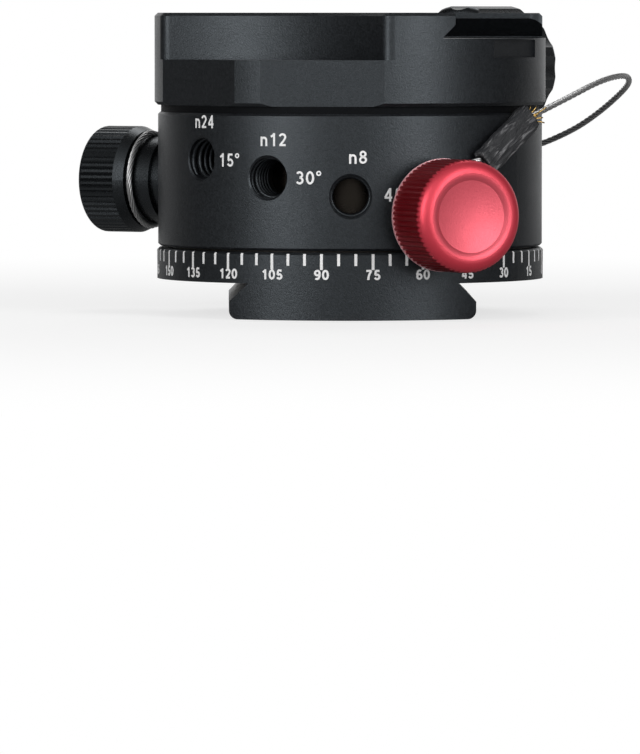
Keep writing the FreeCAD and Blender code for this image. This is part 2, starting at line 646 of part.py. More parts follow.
def clamp_base():
    """Fixed jaw and bed of the clamp, with the hand scallop in front."""
    body = clamp_blank("clamp_base", d.clamp_radius, CLAMP_BOTTOM, CLAMP_TOP)
    ledge = CLAMP_TOP - d.ledge_drop
    centre = d.scallop_near + d.scallop_radius
    sketch = new_sketch(body, "scallop_outline", lift=ledge)
    circle(sketch, ZERO, -centre, d.scallop_radius)
    pocket(body, "scallop", sketch, FAR)
    meet_y = float((d.clamp_radius * d.clamp_radius + centre * centre
                    - d.scallop_radius * d.scallop_radius) / (centre * 2))
    meet_x = math.sqrt(float(d.clamp_radius) ** 2 - meet_y ** 2)
    dress(body, "scallop_corners", "Fillet", upright_at([(meet_x, -meet_y), (-meet_x, -meet_y)]),
          d.scallop_corner)
    for side, name in ((1, "right"), (-1, "left")):
        sketch = new_sketch(body, f"flat_{name}_outline", "XZ_Plane", d.clamp_radius - d.flat_inset,
                            d.flat_azimuth * side)
        rectangle(sketch, (-FAR, CLAMP_BOTTOM - PAST), (FAR, ledge))
        pocket(body, f"flat_{name}", sketch, FAR)
    lip = -d.lip_half_gap
    sketch = new_sketch(body, "groove_outline", "YZ_Plane")
    outline(sketch, [
        (lip, CLAMP_TOP + PAST), (lip, LAND), (lip - d.undercut, LAND - d.undercut),
        (lip - d.undercut, FLOOR), (FAR, FLOOR), (FAR, CLAMP_TOP + PAST)])
    pocket(body, "groove", sketch, both=True)
    lead_ins(body, FLOOR, d.clamp_radius, -1)
    sketch = new_sketch(body, "parting_outline", "YZ_Plane")
    rectangle(sketch, (d.jaw_parting, CLAMP_BOTTOM - PAST), (FAR, FLOOR + PAST))
    pocket(body, "parting", sketch, both=True)
    for side, name in ((1, "right"), (-1, "left")):
        wall = (d.clamp_radius - d.end_recess_inset) * side
        sketch = new_sketch(body, f"end_recess_{name}_outline", "YZ_Plane", wall)
        rectangle(sketch, (-d.end_recess_half - d.end_recess_shift, CLAMP_BOTTOM + d.end_recess_low),
                  (d.end_recess_half - d.end_recess_shift, CLAMP_BOTTOM + d.end_recess_high))
        pocket(body, f"end_recess_{name}", sketch, FAR, forward=side > 0)
    jaw_bores(body, d.jaw_parting, True, [
        ("pin", d.pin_offset, PIN_HEIGHT, d.pin_radius + d.seat_gap, d.pin_bore_end),
        ("spring", d.spring_offset, PIN_HEIGHT, d.spring_bore_radius, d.spring_in_base),
        ("screw", ZERO, SCREW_HEIGHT, d.screw_radius + d.thread_gap, d.screw_bore_end)])
    depth = d.clamp_screw_head_radius - d.clamp_screw_radius
    for side, name in ((1, "right"), (-1, "left")):
        sketch = new_sketch(body, f"clamp_screw_{name}_outline", lift=CLAMP_BOTTOM)
        circle(sketch, d.clamp_screw_offset * side, -d.clamp_screw_back,
               d.clamp_screw_radius + d.seat_gap)
        pocket(body, f"clamp_screw_{name}", sketch, FAR)
        cone_cut(body, f"sink_{name}", "XY_Plane", 0,
                 (d.clamp_screw_offset * side, -d.clamp_screw_back, FLOOR - depth),
                 d.clamp_screw_radius + d.seat_gap, d.clamp_screw_head_radius + d.seat_gap, depth)
    top, bottom = rim_at(d.clamp_radius, CLAMP_TOP), rim_at(d.clamp_radius, CLAMP_BOTTOM)
    dress(body, "rims", "Chamfer", lambda edge: top(edge) or bottom(edge), d.clamp_edge)


def lead_ins(body, low, radius, away):
    """Rounds a lip's two ends in plan. The lip lies on the away side (+1 or -1) of the groove."""
    lip = d.lip_half_gap * away
    start = math.sqrt(float(radius) ** 2 - float(lip) ** 2) - d.lead_in
    for side, name in ((1, "right"), (-1, "left")):
        sketch = new_sketch(body, f"lead_in_{name}_outline", lift=low)
        outline(sketch, [
            (start * side, lip, d.lead_in * (side * away)),
            ((start + d.lead_in) * side, lip + d.lead_in * away), (FAR * side, lip + d.lead_in * away),
            (FAR * side, lip - PAST * away), (start * side, lip - PAST * away)])
        pocket(body, f"lead_in_{name}", sketch, FAR)


def jaw_bores(body, face, forward, holes):
    """Holes along Y from the parting face: pins and springs in pairs, the screw in the middle."""
    for name, across, height, radius, depth in holes:
        for side, label in ((1, "right"), (-1, "left")) if float(across) else ((1, "middle"),):
            sketch = new_sketch(body, f"{name}_{label}_outline", "XZ_Plane", -face)
            circle(sketch, across * side, height, radius)
            pocket(body, f"{name}_{label}", sketch, depth, forward=forward)


def clamp_screws():
    """Flat-headed screws from the groove's floor into the neck plate."""
    body = new_body("clamp_screw")
    depth = d.clamp_screw_head_radius - d.clamp_screw_radius
    turn_profile(body, "screw", [
        (ZERO, PLATE_BOTTOM + d.clamp_screw_tip), (d.clamp_screw_radius, PLATE_BOTTOM + d.clamp_screw_tip),
        (d.clamp_screw_radius, FLOOR - depth), (d.clamp_screw_head_radius, FLOOR), (ZERO, FLOOR)])
    hex_socket(body, d.clamp_screw_key, FLOOR - d.clamp_screw_key, d.clamp_screw_key)
    copies("clamp_screws", body, [FreeCAD.Placement(
        FreeCAD.Vector(float(d.clamp_screw_offset) * side, -float(d.clamp_screw_back), 0),
        FreeCAD.Rotation()) for side in (1, -1)])


def hex_socket(body, half_width, low, depth):
    corner = half_width / math.cos(math.radians(30))
    sketch = new_sketch(body, "key_outline", lift=low)
    outline(sketch, [(corner * math.cos(math.radians(60 * side + 30)),
                      corner * math.sin(math.radians(60 * side + 30))) for side in range(6)])
    pocket(body, "key_socket", sketch, depth)


def moving_jaw():
    """Rear jaw: lip over the groove and apron behind the bed, a little inside the clamp's outline."""
    low, high = CLAMP_BOTTOM + d.floor_gap, CLAMP_TOP - d.seat_gap
    radius = d.clamp_radius - d.jaw_inset
    body = clamp_blank("moving_jaw", radius, low, high)
    top, bottom = rim_at(radius, high), rim_at(radius, low)
    dress(body, "rims", "Chamfer", lambda edge: top(edge) or bottom(edge), d.clamp_edge)
    parting = d.jaw_parting + d.jaw_gap
    under = d.lip_half_gap + d.undercut
    sketch = new_sketch(body, "bed_outline", "YZ_Plane")
    outline(sketch, [
        (-FAR, CLAMP_BOTTOM - PAST), (parting, CLAMP_BOTTOM - PAST), (parting, FLOOR + d.floor_gap),
        (under, FLOOR + d.floor_gap), (under, LAND - d.undercut), (d.lip_half_gap, LAND),
        (d.lip_half_gap, CLAMP_TOP + PAST), (-FAR, CLAMP_TOP + PAST)])
    pocket(body, "bed", sketch, both=True)
    lead_ins(body, FLOOR, radius, 1)
    jaw_bores(body, parting, False, [
        ("pin", d.pin_offset, PIN_HEIGHT, d.pin_radius, d.pin_in_jaw),
        ("spring", d.spring_offset, PIN_HEIGHT, d.spring_bore_radius, d.spring_in_jaw),
        ("screw", ZERO, SCREW_HEIGHT, d.screw_radius + d.screw_clear_gap, FAR)])
    sketch = new_sketch(body, "washer_flat_outline", "XZ_Plane", -SPOT_FACE)
    rectangle(sketch, (-d.spot_radius, CLAMP_BOTTOM - PAST),
              (d.spot_radius, SCREW_HEIGHT + d.spot_radius))
    pocket(body, "washer_flat", sketch, FAR, forward=False)


def along_y(name, profile):
    """A turned piece whose axis lies along +Y at the height of the clamp's screw."""
    body = new_body(name)
    turn_profile(body, "turned", profile)
    body.Placement = outward(180, SCREW_HEIGHT)
    return body


def guide_pins():
    """Pins pressed in the moving jaw that slide in the bed."""
    body = new_body("guide_pin")
    end = d.jaw_parting + d.jaw_gap + d.pin_in_jaw
    turn_profile(body, "pin", [
        (ZERO, d.jaw_parting - d.pin_in_base), (d.pin_radius, d.jaw_parting - d.pin_in_base),
        (d.pin_radius, end), (ZERO, end)])
    copies("guide_pins", body, [pair_place(d.pin_offset, side) for side in (1, -1)])


def pair_place(offset, side):
    place = outward(180, PIN_HEIGHT)
    place.Base.x = float(offset) * side
    return place


def coil(name, radius, wire, turns, start, end):
    """A compression spring of square wire along its own Z axis."""
    height = float(end) - float(start) - 2 * float(wire)
    path = Part.makeHelix(height / turns, height, float(radius) - float(wire))
    path.translate(FreeCAD.Vector(0, 0, float(start) + float(wire)))
    edge = path.Edges[0]
    begin, along = edge.valueAt(edge.FirstParameter), edge.tangentAt(edge.FirstParameter)
    outward_side = FreeCAD.Vector(begin.x, begin.y, 0).normalize() * float(wire)
    upper_side = outward_side.cross(along)
    corners = [begin + outward_side * a + upper_side * b for a, b in ((1, 1), (-1, 1), (-1, -1), (1, -1))]
    section = Part.makePolygon(corners + corners[:1])
    spring = doc.addObject("Part::Feature", name)
    spring.Label = name
    spring.Shape = Part.Wire(path.Edges).makePipeShell([section], True, True)
    nodes.append(spring)
    return spring


def jaw_springs():
    """Springs that push the jaw open."""
    start = d.jaw_parting - d.spring_in_base + d.spring_end_gap
    end = d.jaw_parting + d.jaw_gap + d.spring_in_jaw - d.spring_end_gap
    spring = coil("jaw_spring", d.spring_radius, d.spring_wire, SIZES["spring_turns"], start, end)
    copies("jaw_springs", spring, [pair_place(d.spring_offset, side) for side in (1, -1)])


def knob_washer():
    """Thrust washer between the moving jaw and the clamp knob."""
    along_y("knob_washer", [
        (d.screw_radius + d.screw_clear_gap, SPOT_FACE), (d.washer_radius, SPOT_FACE),
        (d.washer_radius, SPOT_FACE + d.washer_thickness),
        (d.screw_radius + d.screw_clear_gap, SPOT_FACE + d.washer_thickness)])


def jaw_screw():
    """Screw that runs through the moving jaw into the bed, pressed in the clamp knob."""
    end = KNOB_HUB + d.knob_screw_depth
    along_y("jaw_screw", [
        (ZERO, d.jaw_parting - d.screw_in_base), (d.screw_radius, d.jaw_parting - d.screw_in_base),
        (d.screw_radius, end), (ZERO, end)])


def clamp_knob():
    """Lobed knob with a hub and a shallow dished face."""
    head, edge = KNOB_HEAD, d.knob_round
    end = head + d.knob_length - d.knob_hub_length
    body = along_y("clamp_knob", [
        (d.screw_radius, KNOB_HUB), (d.knob_hub_radius, KNOB_HUB), (d.knob_hub_radius, head),
        (d.knob_radius - edge, head, edge), (d.knob_radius, head + edge),
        (d.knob_radius, end - edge, edge), (d.knob_radius - edge, end), (d.knob_face_radius, end),
        (d.knob_face_radius - d.knob_face_depth, end - d.knob_face_depth),
        (ZERO, end - d.knob_face_depth), (ZERO, KNOB_HUB + d.knob_screw_depth),
        (d.screw_radius, KNOB_HUB + d.knob_screw_depth)])
    sketch = new_sketch(body, "flute_outline", lift=head)
    circle(sketch, d.knob_radius + d.knob_lobe_radius - d.knob_lobe_depth, ZERO, d.knob_lobe_radius)
    flute = pocket(body, "flute", sketch, FAR)
    round_pattern(body, "flutes", flute, SIZES["knob_lobes"])


def knurl(body, radius, depth, half_width, start, count):
    """Straight V-shaped flutes along a knob's side, from a height outward."""
    sketch = new_sketch(body, "flute_outline", lift=start)
    outline(sketch, [(radius - depth, ZERO), (radius + depth, -half_width * 2),
                     (radius + depth, half_width * 2)])
    flute = pocket(body, "flute", sketch, FAR)
    round_pattern(body, "flutes", flute, count)


# ---------------------------------------------------------------- lock knob

def outward_piece(name, profile, azimuth, height):
    """A turned piece on a radial axis of the rotor."""
    body = new_body(name)
    turn_profile(body, "turned", profile)
    body.Placement = outward(azimuth, height)
    return body


def lock_pad():
    """Brass pad that the lock screw presses on the drum."""
    radius, end = d.screw_radius - d.lock_pad_slack, LOCK_PAD_START + d.lock_pad_thickness
    outward_piece("lock_pad", [(ZERO, LOCK_PAD_START), (radius, LOCK_PAD_START), (radius, end),
                               (ZERO, end)], d.lock_azimuth, LOCK_HEIGHT)


def lock_screw():
    """Screw that drives the pad, pressed in the lock knob."""
    start = LOCK_PAD_START + d.lock_pad_thickness
    outward_piece("lock_screw", [
        (ZERO, start), (d.screw_radius, start), (d.screw_radius, LOCK_SCREW_END),
        (ZERO, LOCK_SCREW_END)], d.lock_azimuth, LOCK_HEIGHT)


def lock_knob():
    """Knurled knob with a coned back and a stepped neck for the wire loop."""
    edge = d.lock_round
    body = outward_piece("lock_knob", [
        (d.screw_radius, LOCK_ROOT), (d.lock_root_radius, LOCK_ROOT), (d.lock_root_radius, LOCK_STEP),
        (d.lock_neck_radius, LOCK_STEP), (d.lock_neck_radius, LOCK_BACK),
        (d.lock_cone_radius, LOCK_BACK), (d.lock_head_radius, LOCK_HEAD),
        (d.lock_head_radius, LOCK_END - edge, edge), (d.lock_head_radius - edge, LOCK_END),
        (ZERO, LOCK_END), (ZERO, LOCK_SCREW_END), (d.screw_radius, LOCK_SCREW_END)],
        d.lock_azimuth, LOCK_HEIGHT)
    knurl(body, d.lock_head_radius, d.lock_flute_depth, d.lock_flute_half, LOCK_HEAD,
          SIZES["lock_flutes"])


# ---------------------------------------------------------------- index plunger

def index_piece(name, profile):
    return outward_piece(name, profile, INDEX_AZIMUTHS[PLUNGER], INDEX_HEIGHTS[PLUNGER])


def index_pin():
    """Sprung pin with a ball nose, drawn back on the drum's land between two stops."""
    tip = d.drum_radius + d.index_tip_gap
    collar = INDEX_LIP_END + d.index_collar_travel
    nose = d.index_nose_radius
    index_piece("index_pin", [
        (ZERO, tip, nose), (nose, tip + nose), (nose, collar), (d.index_collar_radius, collar),
        (d.index_collar_radius, collar + d.index_collar_length),
        (d.index_tail_radius, collar + d.index_collar_length),
        (d.index_tail_radius, collar + d.index_collar_length + d.index_tail_length),
        (ZERO, collar + d.index_collar_length + d.index_tail_length)])


def index_barrel():
    """Threaded barrel of the plunger, with the lip that stops the pin and the neck for the wire loop."""
    outer, hole = d.index_thread_radius - d.thread_gap, d.index_nose_radius + d.seat_gap
    start, end = d.drum_radius + d.index_lip_from, INDEX_BACK + d.index_shank_length
    index_piece("index_barrel", [
        (hole, start), (outer, start), (outer, INDEX_SHOULDER), (d.index_neck_radius, INDEX_SHOULDER),
        (d.index_neck_radius, INDEX_BACK), (d.index_shank_radius, INDEX_BACK),
        (d.index_shank_radius, end), (ZERO, end), (ZERO, SPRING_SEAT), (d.index_bore_radius, SPRING_SEAT),
        (d.index_bore_radius, INDEX_LIP_END), (hole, INDEX_LIP_END)])


def index_spring():
    """Spring that presses the pin into the dimples."""
    start = INDEX_LIP_END + d.index_collar_travel + d.index_collar_length + d.seat_gap
    spring = coil("index_spring", d.index_spring_radius, d.index_spring_wire,
                  SIZES["index_spring_turns"], start, SPRING_SEAT - d.seat_gap)
    spring.Placement = outward(INDEX_AZIMUTHS[PLUNGER], INDEX_HEIGHTS[PLUNGER])


def index_knob():
    """Red knob: smooth band and ridge at the back, fine flutes, rounded rim and a dished face."""
    band = INDEX_BACK + d.index_band_length
    ridge = band + d.index_ridge_length
    rim = INDEX_BACK + d.index_rim_from
    crown = rim + d.index_rim_round
    dish = crown - d.index_rim_fall
    seat = INDEX_BACK + d.index_shank_length
    body = index_piece("index_knob", [
        (d.index_shank_radius, INDEX_BACK), (d.index_band_radius, INDEX_BACK),
        (d.index_band_radius, band), (d.index_ridge_radius, band), (d.index_ridge_radius, ridge),
        (d.index_knob_radius, ridge), (d.index_knob_radius, rim, d.index_rim_round),
        (d.index_knob_radius - d.index_rim_round, crown, d.index_rim_round),
        (d.index_dish_radius, dish, -d.index_dish_round), (ZERO, dish - d.index_dish_depth),
        (ZERO, seat), (d.index_shank_radius, seat)])
    knurl(body, d.index_knob_radius, d.index_flute_depth, d.index_flute_half, ridge,
          SIZES["index_flutes"])


# ---------------------------------------------------------------- wire lanyard

def rounded_path(points):
    """Straight runs joined by tangent arcs, each as large as its two runs allow."""
    corners = [FreeCAD.Vector(*point) for point in points]
    edges, radii = [], []
    here = corners[0]
    for before, corner, after in zip(corners, corners[1:], corners[2:]):
        back, ahead = before - corner, after - corner
        turn = math.pi - back.getAngle(ahead)
        cut = 0.45 * min(back.Length, ahead.Length)
        radii.append(cut / math.tan(turn / 2))
        start = corner + FreeCAD.Vector(back).normalize() * cut
        end = corner + FreeCAD.Vector(ahead).normalize() * cut
        inward = (FreeCAD.Vector(back).normalize() + FreeCAD.Vector(ahead).normalize()).normalize()
        middle = corner + inward * (radii[-1] / math.cos(turn / 2) - radii[-1])
        edges.append(Part.LineSegment(here, start).toShape())
        edges.append(Part.Arc(start, middle, end).toShape())
        here = end
    edges.append(Part.LineSegment(here, corners[-1]).toShape())
    return Part.Wire(edges), radii


def wire_tube(name, points):
    """Six-sided wire of the round one's area along a route of hand-set points, its volume checked."""
    path, radii = rounded_path(points)
    edge = path.Edges[0]
    begin, along = edge.valueAt(edge.FirstParameter), edge.tangentAt(edge.FirstParameter)
    area = math.pi * (float(d.wire_diameter) / 2) ** 2
    first_side = along.cross(Z_AXIS).normalize() * math.sqrt(area / (1.5 * math.sqrt(3)))
    corners = [begin + FreeCAD.Rotation(along, 60 * side).multVec(first_side) for side in range(6)]
    section = Part.makePolygon(corners + corners[:1])
    tube = doc.addObject("Part::Feature", name)
    tube.Label = name
    tube.Shape = path.makePipeShell([section], True, False)
    nodes.append(tube)
    expected = area * path.Length
    if abs(tube.Shape.Volume / expected - 1) > 0.01:
        raise RuntimeError(f"{name}: volume {tube.Shape.Volume:.3f}, expected {expected:.3f}")
    print(f"{name}: length {path.Length:.1f} mm, bend radii " + ", ".join(f"{r:.1f}" for r in radii))


def loop_points(azimuth, height, ring_at, ring_radius, sleeve_end):
    """Route of a wire loop: sleeve, round the knob's neck, and back to the sleeve."""
    place = outward(azimuth, height)
    local = place.inverse().multVec(FreeCAD.Vector(*sleeve_end))
    reach = math.hypot(local.x, local.y)
    middle = math.atan2(local.y, local.x)
    touch = math.acos(float(ring_radius) / reach)
    sweep = 2 * (math.pi - touch)
    corners = 5
    step = sweep / corners
    vertex = float(ring_radius) / math.cos(step / 2)
    spread = FreeCAD.Vector(-math.sin(middle), math.cos(middle), 0) * float(d.tail_spread)
    route = [local + spread]
    for corner in range(corners):
        angle = middle + touch + step * (corner + 0.5)
        route.append(FreeCAD.Vector(vertex * math.cos(angle), vertex * math.sin(angle), float(ring_at)))
    route.append(local - spread)
    return [tuple(place.multVec(point)) for point in route]


INDEX_SLEEVE = [(30.3, -10.6, 23.9), (32.2, 0.3, 30.9)]
LOCK_SLEEVE = [(-34.4, 15.0, 20.6), (-32.0, 22.8, 20.9)]
WIRE_ROUTE = [(32.2, 0.3, 30.9), (34.3, 7.8, 33.6), (36.0, 16.1, 36.5), (35.5, 24.8, 37.3),
              (33.3, 30.5, 36.3), (28.9, 36.0, 34.5), (21.7, 41.1, 31.0), (15.0, 44.3, 28.0),
              (6.0, 46.4, 25.0), (-4.5, 45.6, 23.2), (-14.5, 41.6, 21.9), (-23.0, 35.0, 21.2),
              (-29.0, 28.6, 21.0), (-32.0, 22.8, 20.9)]


def sleeve(name, ends):
    """Flat oval sleeve over a crimp, lying along the wire."""
    start, end = (FreeCAD.Vector(*point) for point in ends)
    body = new_body(name)
    half = d.sleeve_thickness / 2
    reach = d.sleeve_width / 2 - half
    sketch = new_sketch(body, "oval")
    outline(sketch, [(reach, -half, d.sleeve_round), (reach, half), (-reach, half, d.sleeve_round),
                     (-reach, -half)])
    pad(body, "sleeve", sketch, (end - start).Length)
    along = (end - start).normalize()
    away = FreeCAD.Vector(start.x + end.x, start.y + end.y, 0).normalize()
    flat = along.cross(away).normalize()
    thick = along.cross(flat).normalize()
    matrix = FreeCAD.Matrix(flat.x, thick.x, along.x, start.x, flat.y, thick.y, along.y, start.y,
                            flat.z, thick.z, along.z, start.z, 0, 0, 0, 1)
    body.Placement = FreeCAD.Placement(matrix)


def lanyard():
    sleeve("index_sleeve", INDEX_SLEEVE)
    sleeve("lock_sleeve", LOCK_SLEEVE)
    wire_tube("lanyard_wire", WIRE_ROUTE)
    wire_tube("index_loop", loop_points(INDEX_AZIMUTHS[PLUNGER], INDEX_HEIGHTS[PLUNGER],
                                        (INDEX_SHOULDER + INDEX_BACK) / 2, d.loop_radius,
                                        INDEX_SLEEVE[0]))
    wire_tube("lock_loop", loop_points(d.lock_azimuth, LOCK_HEIGHT, LOCK_BACK - d.lock_ring_inset,
                                       d.lock_ring_radius, LOCK_SLEEVE[0]))


for make in (scale_base, tripod_bush, drum_screws, detent_drum, slip_rings, retaining_nut, housing,
             neck_plate, plate_screws, clamp_base, clamp_screws, moving_jaw, guide_pins, jaw_springs,
             knob_washer, jaw_screw, clamp_knob, lock_pad, lock_screw, lock_knob, index_pin,
             index_barrel, index_spring, index_knob, lanyard):
    make()


def check_and_write():
    doc.recompute()
    for item in doc.Objects:
        if "Invalid" in item.State or "Error" in item.State:
            raise RuntimeError(f"{item.Name} is {item.State}")
    os.makedirs("parts", exist_ok=True)
    for node in nodes:
        shape = node.Shape
        if shape.isNull() or not shape.isValid():
            raise RuntimeError(f"{node.Label} has a bad shape")
        solids = len(shape.Solids)
        print(f"{node.Label}: {solids} solid(s), {shape.Volume:.1f} mm3")
    for node in nodes:
        node.Shape.exportStep(os.path.join("parts", node.Label + ".step"))


check_and_write()
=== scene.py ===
"""Looks of a panoramic tripod head: finishes, printed scale and numbers, threads, wire lanyard, light.

Metres in the head's own frame: +Z up the pan axis, origin under the foot. An azimuth is counted from
the front (-Y) towards +X. Lists of points that come in millimetres say so.
"""
import math

import bpy
from mathutils import Matrix, Vector, noise


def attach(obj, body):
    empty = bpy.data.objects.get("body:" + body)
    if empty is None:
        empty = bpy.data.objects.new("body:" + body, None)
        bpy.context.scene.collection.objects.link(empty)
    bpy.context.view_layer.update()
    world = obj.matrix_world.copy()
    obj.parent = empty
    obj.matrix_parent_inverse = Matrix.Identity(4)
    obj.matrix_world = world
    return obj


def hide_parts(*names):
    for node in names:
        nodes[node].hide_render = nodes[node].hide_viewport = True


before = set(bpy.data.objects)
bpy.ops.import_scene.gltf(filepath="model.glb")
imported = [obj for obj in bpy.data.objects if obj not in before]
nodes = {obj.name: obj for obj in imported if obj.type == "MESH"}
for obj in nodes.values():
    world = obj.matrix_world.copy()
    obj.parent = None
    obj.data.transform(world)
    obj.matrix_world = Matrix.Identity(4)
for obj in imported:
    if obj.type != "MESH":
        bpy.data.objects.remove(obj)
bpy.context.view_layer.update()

MM = 0.001


def around(azimuth, radius, height):
    """A point at an azimuth, a distance from the pan axis and a height."""
    return Vector((radius * math.sin(azimuth), -radius * math.cos(azimuth), height))


def outward(azimuth, height):
    """Axes of a radial piece: its own Z points outward, its own Y up."""
    out = around(azimuth, 1, 0)
    beside = Vector((math.cos(azimuth), math.sin(azimuth), 0))
    turned = Matrix((beside, (0, 0, 1), out)).transposed().to_4x4()
    return Matrix.Translation((0, 0, height)) @ turned


def show(obj):
    bpy.context.scene.collection.objects.link(obj)
    return obj


def solid(name, points, faces, finish, body, slot, smooth=True):
    """A mesh piece that rides on a body."""
    mesh = bpy.data.meshes.new(name)
    mesh.from_pydata([tuple(p) for p in points], [], faces)
    mesh.validate()
    if smooth:
        mesh.polygons.foreach_set("use_smooth", [True] * len(mesh.polygons))
    mesh.update()
    mesh.materials.append(finish)
    made = show(bpy.data.objects.new(name, mesh))
    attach(made, body)
    return made


def stitched(rings):
    """Points and faces of a closed skin over rings that all have the same number of points."""
    count = len(rings[0])
    points = [p for ring in rings for p in ring]
    faces = []
    for lower in range(len(rings) - 1):
        for k in range(count):
            here, after = lower * count + k, lower * count + (k + 1) % count
            faces.append((here, after, after + count, here + count))
    faces.append(tuple(reversed(range(count))))
    faces.append(tuple(range(len(points) - count, len(points))))
    return points, faces


def gather(parts):
    """Points and faces of several skins as one."""
    points, faces = [], []
    for more, their_faces in parts:
        faces += [tuple(len(points) + k for k in face) for face in their_faces]
        points += more
    return points, faces


def in_metres(point):
    return tuple(Vector(point) * MM)


# ------------------------------------------------------------------ camera

VIEW_AZIMUTH = math.radians(31.0)
EYE_DISTANCE = 1.1377
EYE_HEIGHT = 0.0471
AIM_HEIGHT = -0.0101
AIM_BESIDE = -0.0047
LENS_MM = 346.6
NEAREST, FARTHEST = 0.05, 30


def make_camera():
    """A long lens, a little above the foot and aimed below the head."""
    eye = around(VIEW_AZIMUTH, EYE_DISTANCE, EYE_HEIGHT)
    beside = Vector((math.cos(VIEW_AZIMUTH), math.sin(VIEW_AZIMUTH), 0))
    aim = beside * AIM_BESIDE + Vector((0, 0, AIM_HEIGHT))
    data = bpy.data.cameras.new("view")
    data.lens = LENS_MM
    data.clip_start, data.clip_end = NEAREST, FARTHEST
    camera = show(bpy.data.objects.new("view", data))
    camera.location = eye
    camera.rotation_euler = (aim - eye).to_track_quat("-Z", "Y").to_euler()
    bpy.context.scene.camera = camera


make_camera()


# ------------------------------------------------------------------ sizes shared with the head

INDEX_AZIMUTH = math.radians(56.3)
WIRE = 0.95 * MM
# control points of the lanyard and the ends of its two sleeves, in millimetres
LANYARD_ROUTE = [
    (32.2, 0.3, 30.9), (34.3, 7.8, 33.6), (36.0, 16.1, 36.5), (35.5, 24.8, 37.3), (33.3, 30.5, 36.3),
    (28.9, 36.0, 34.5), (21.7, 41.1, 31.0), (15.0, 44.3, 28.0), (6.0, 46.4, 25.0), (-4.5, 45.6, 23.2),
    (-14.5, 41.6, 21.9), (-23.0, 35.0, 21.2), (-29.0, 28.6, 21.0), (-32.0, 22.8, 20.9)]
INDEX_SLEEVE = [(30.3, -10.6, 23.9), (32.2, 0.3, 30.9)]
LOCK_SLEEVE = [(-34.4, 15.0, 20.6), (-32.0, 22.8, 20.9)]
# the neck that each loop goes round: its axis, the loop's radius and how far out it lies, in millimetres
INDEX_AXIS = {"azimuth": INDEX_AZIMUTH, "height": 16.15, "ring": 6.2, "at": 31.37}
LOCK_AXIS = {"azimuth": math.radians(-90.0), "height": 20.5, "ring": 7.6, "at": 36.25}


# ------------------------------------------------------------------ shader maths

class Socket:
    """A shader socket that takes part in Python expressions."""

    def __init__(self, recipe, socket):
        self.recipe, self.socket = recipe, socket

    def maths(self, operation, *others):
        return self.recipe.node("Math", {"operation": operation}, dict(enumerate((self, *others))))

    def __add__(self, other):
        return self.maths("ADD", other)

    __radd__ = __add__

    def __sub__(self, other):
        return self.maths("SUBTRACT", other)

    def __rsub__(self, other):
        return self.recipe.node("Math", {"operation": "SUBTRACT"}, {0: other, 1: self})

    def __mul__(self, other):
        return self.maths("MULTIPLY", other)

    __rmul__ = __mul__

    def __truediv__(self, other):
        return self.maths("DIVIDE", other)

    def above(self, edge, width):
        """0 below the edge and 1 above it, smooth over the width."""
        return self.recipe.node("MapRange", {"interpolation_type": "SMOOTHSTEP"},
                                {"Value": self, "From Min": edge, "From Max": edge + width})


class Recipe:
    """The node tree of one finish."""

    def __init__(self, owner):
        owner.use_nodes = True
        self.tree = owner.node_tree
        self.tree.nodes.clear()

    def node(self, kind, settings=None, inputs=None, out=0):
        """Adds a node, sets it up, then fills its sockets with values or links."""
        made = self.tree.nodes.new("ShaderNode" + kind)
        for name, value in (settings or {}).items():
            if name == "stops":
                ramp = made.color_ramp.elements
                while len(ramp) < len(value):
                    ramp.new(1.0)
                for stop, (place, colour) in zip(ramp, value):
                    stop.position, stop.color = place, (*colour, 1)
            else:
                setattr(made, name, value)
        for name, value in (inputs or {}).items():
            if isinstance(value, Socket):
                self.tree.links.new(value.socket, made.inputs[name])
            else:
                made.inputs[name].default_value = value
        return Socket(self, made.outputs[out]) if made.outputs else None

    def place(self):
        return self.node("TexCoord", out="Object")

    def speckle(self, per_metre, detail=2.0, rough=0.5, warp=0.0):
        return self.node("TexNoise", {}, {"Vector": self.place(), "Scale": per_metre, "Detail": detail,
                                          "Roughness": rough, "Distortion": warp}, "Fac")

    def blend(self, amount, dark, light):
        """A colour between two, by an amount."""
        return self.node("Mix", {"data_type": "RGBA"}, {0: amount, 6: dark, 7: light}, 2)

    def vector(self, operation, *operands, out=0):
        return self.node("VectorMath", {"operation": operation}, dict(enumerate(operands)), out)

    def along(self, axis):
        """How far a point lies along an axis through the origin."""
        return self.vector("DOT_PRODUCT", self.place(), tuple(axis), out="Value")

    def bumped(self, height, distance, strength=1.0):
        return self.node("Bump", {}, {"Height": height, "Distance": distance, "Strength": strength}, "Normal")


def finish(name, sockets):
    """A material of one principled shader. sockets(recipe) gives its values and links."""
    material = bpy.data.materials.new(name)
    recipe = Recipe(material)
    shader = recipe.node("BsdfPrincipled", {}, sockets(recipe), "BSDF")
    recipe.node("OutputMaterial", {}, {"Surface": shader})
    return material


def grey(value):
    return (value, value, value, 1)


COOL = (0.83, 0.925, 1.0)
GRAIN_DEPTH = 0.06 * MM


def anodised(name, dark, light, rough, specular, grain=1.0):
    """Bead-blasted and anodised aluminium: fine speckle, with a little handling haze."""
    def sockets(r):
        fine = r.speckle(4300, 3, 0.7)
        coarse = r.speckle(1900, 2, 0.5)
        haze = r.speckle(90, 3, 0.55, 0.4)
        tone = fine * 0.7 + coarse * 0.3
        return {
            "Base Color": r.blend(tone.above(0.3, 0.4), (*dark, 1), (*light, 1)),
            "Roughness": (haze - 0.5) * 0.10 + (fine - 0.5) * 0.3 + rough,
            "Specular IOR Level": specular, "Specular Tint": (*COOL, 1),
            "Normal": r.bumped(tone, GRAIN_DEPTH * grain, 0.8),
        }
    return finish(name, sockets)


# zones of the red knob: distances out along its axis, and the radius of the dish in its face
RIDGE_FROM, RIDGE_TO, RIDGE_BLUR = 33.05 * MM, 33.35 * MM, 0.1 * MM
KNURL_TO, KNURL_BLUR = 41.2 * MM, 0.8 * MM
DISH, DISH_BLUR = 5.6 * MM, 1.8 * MM


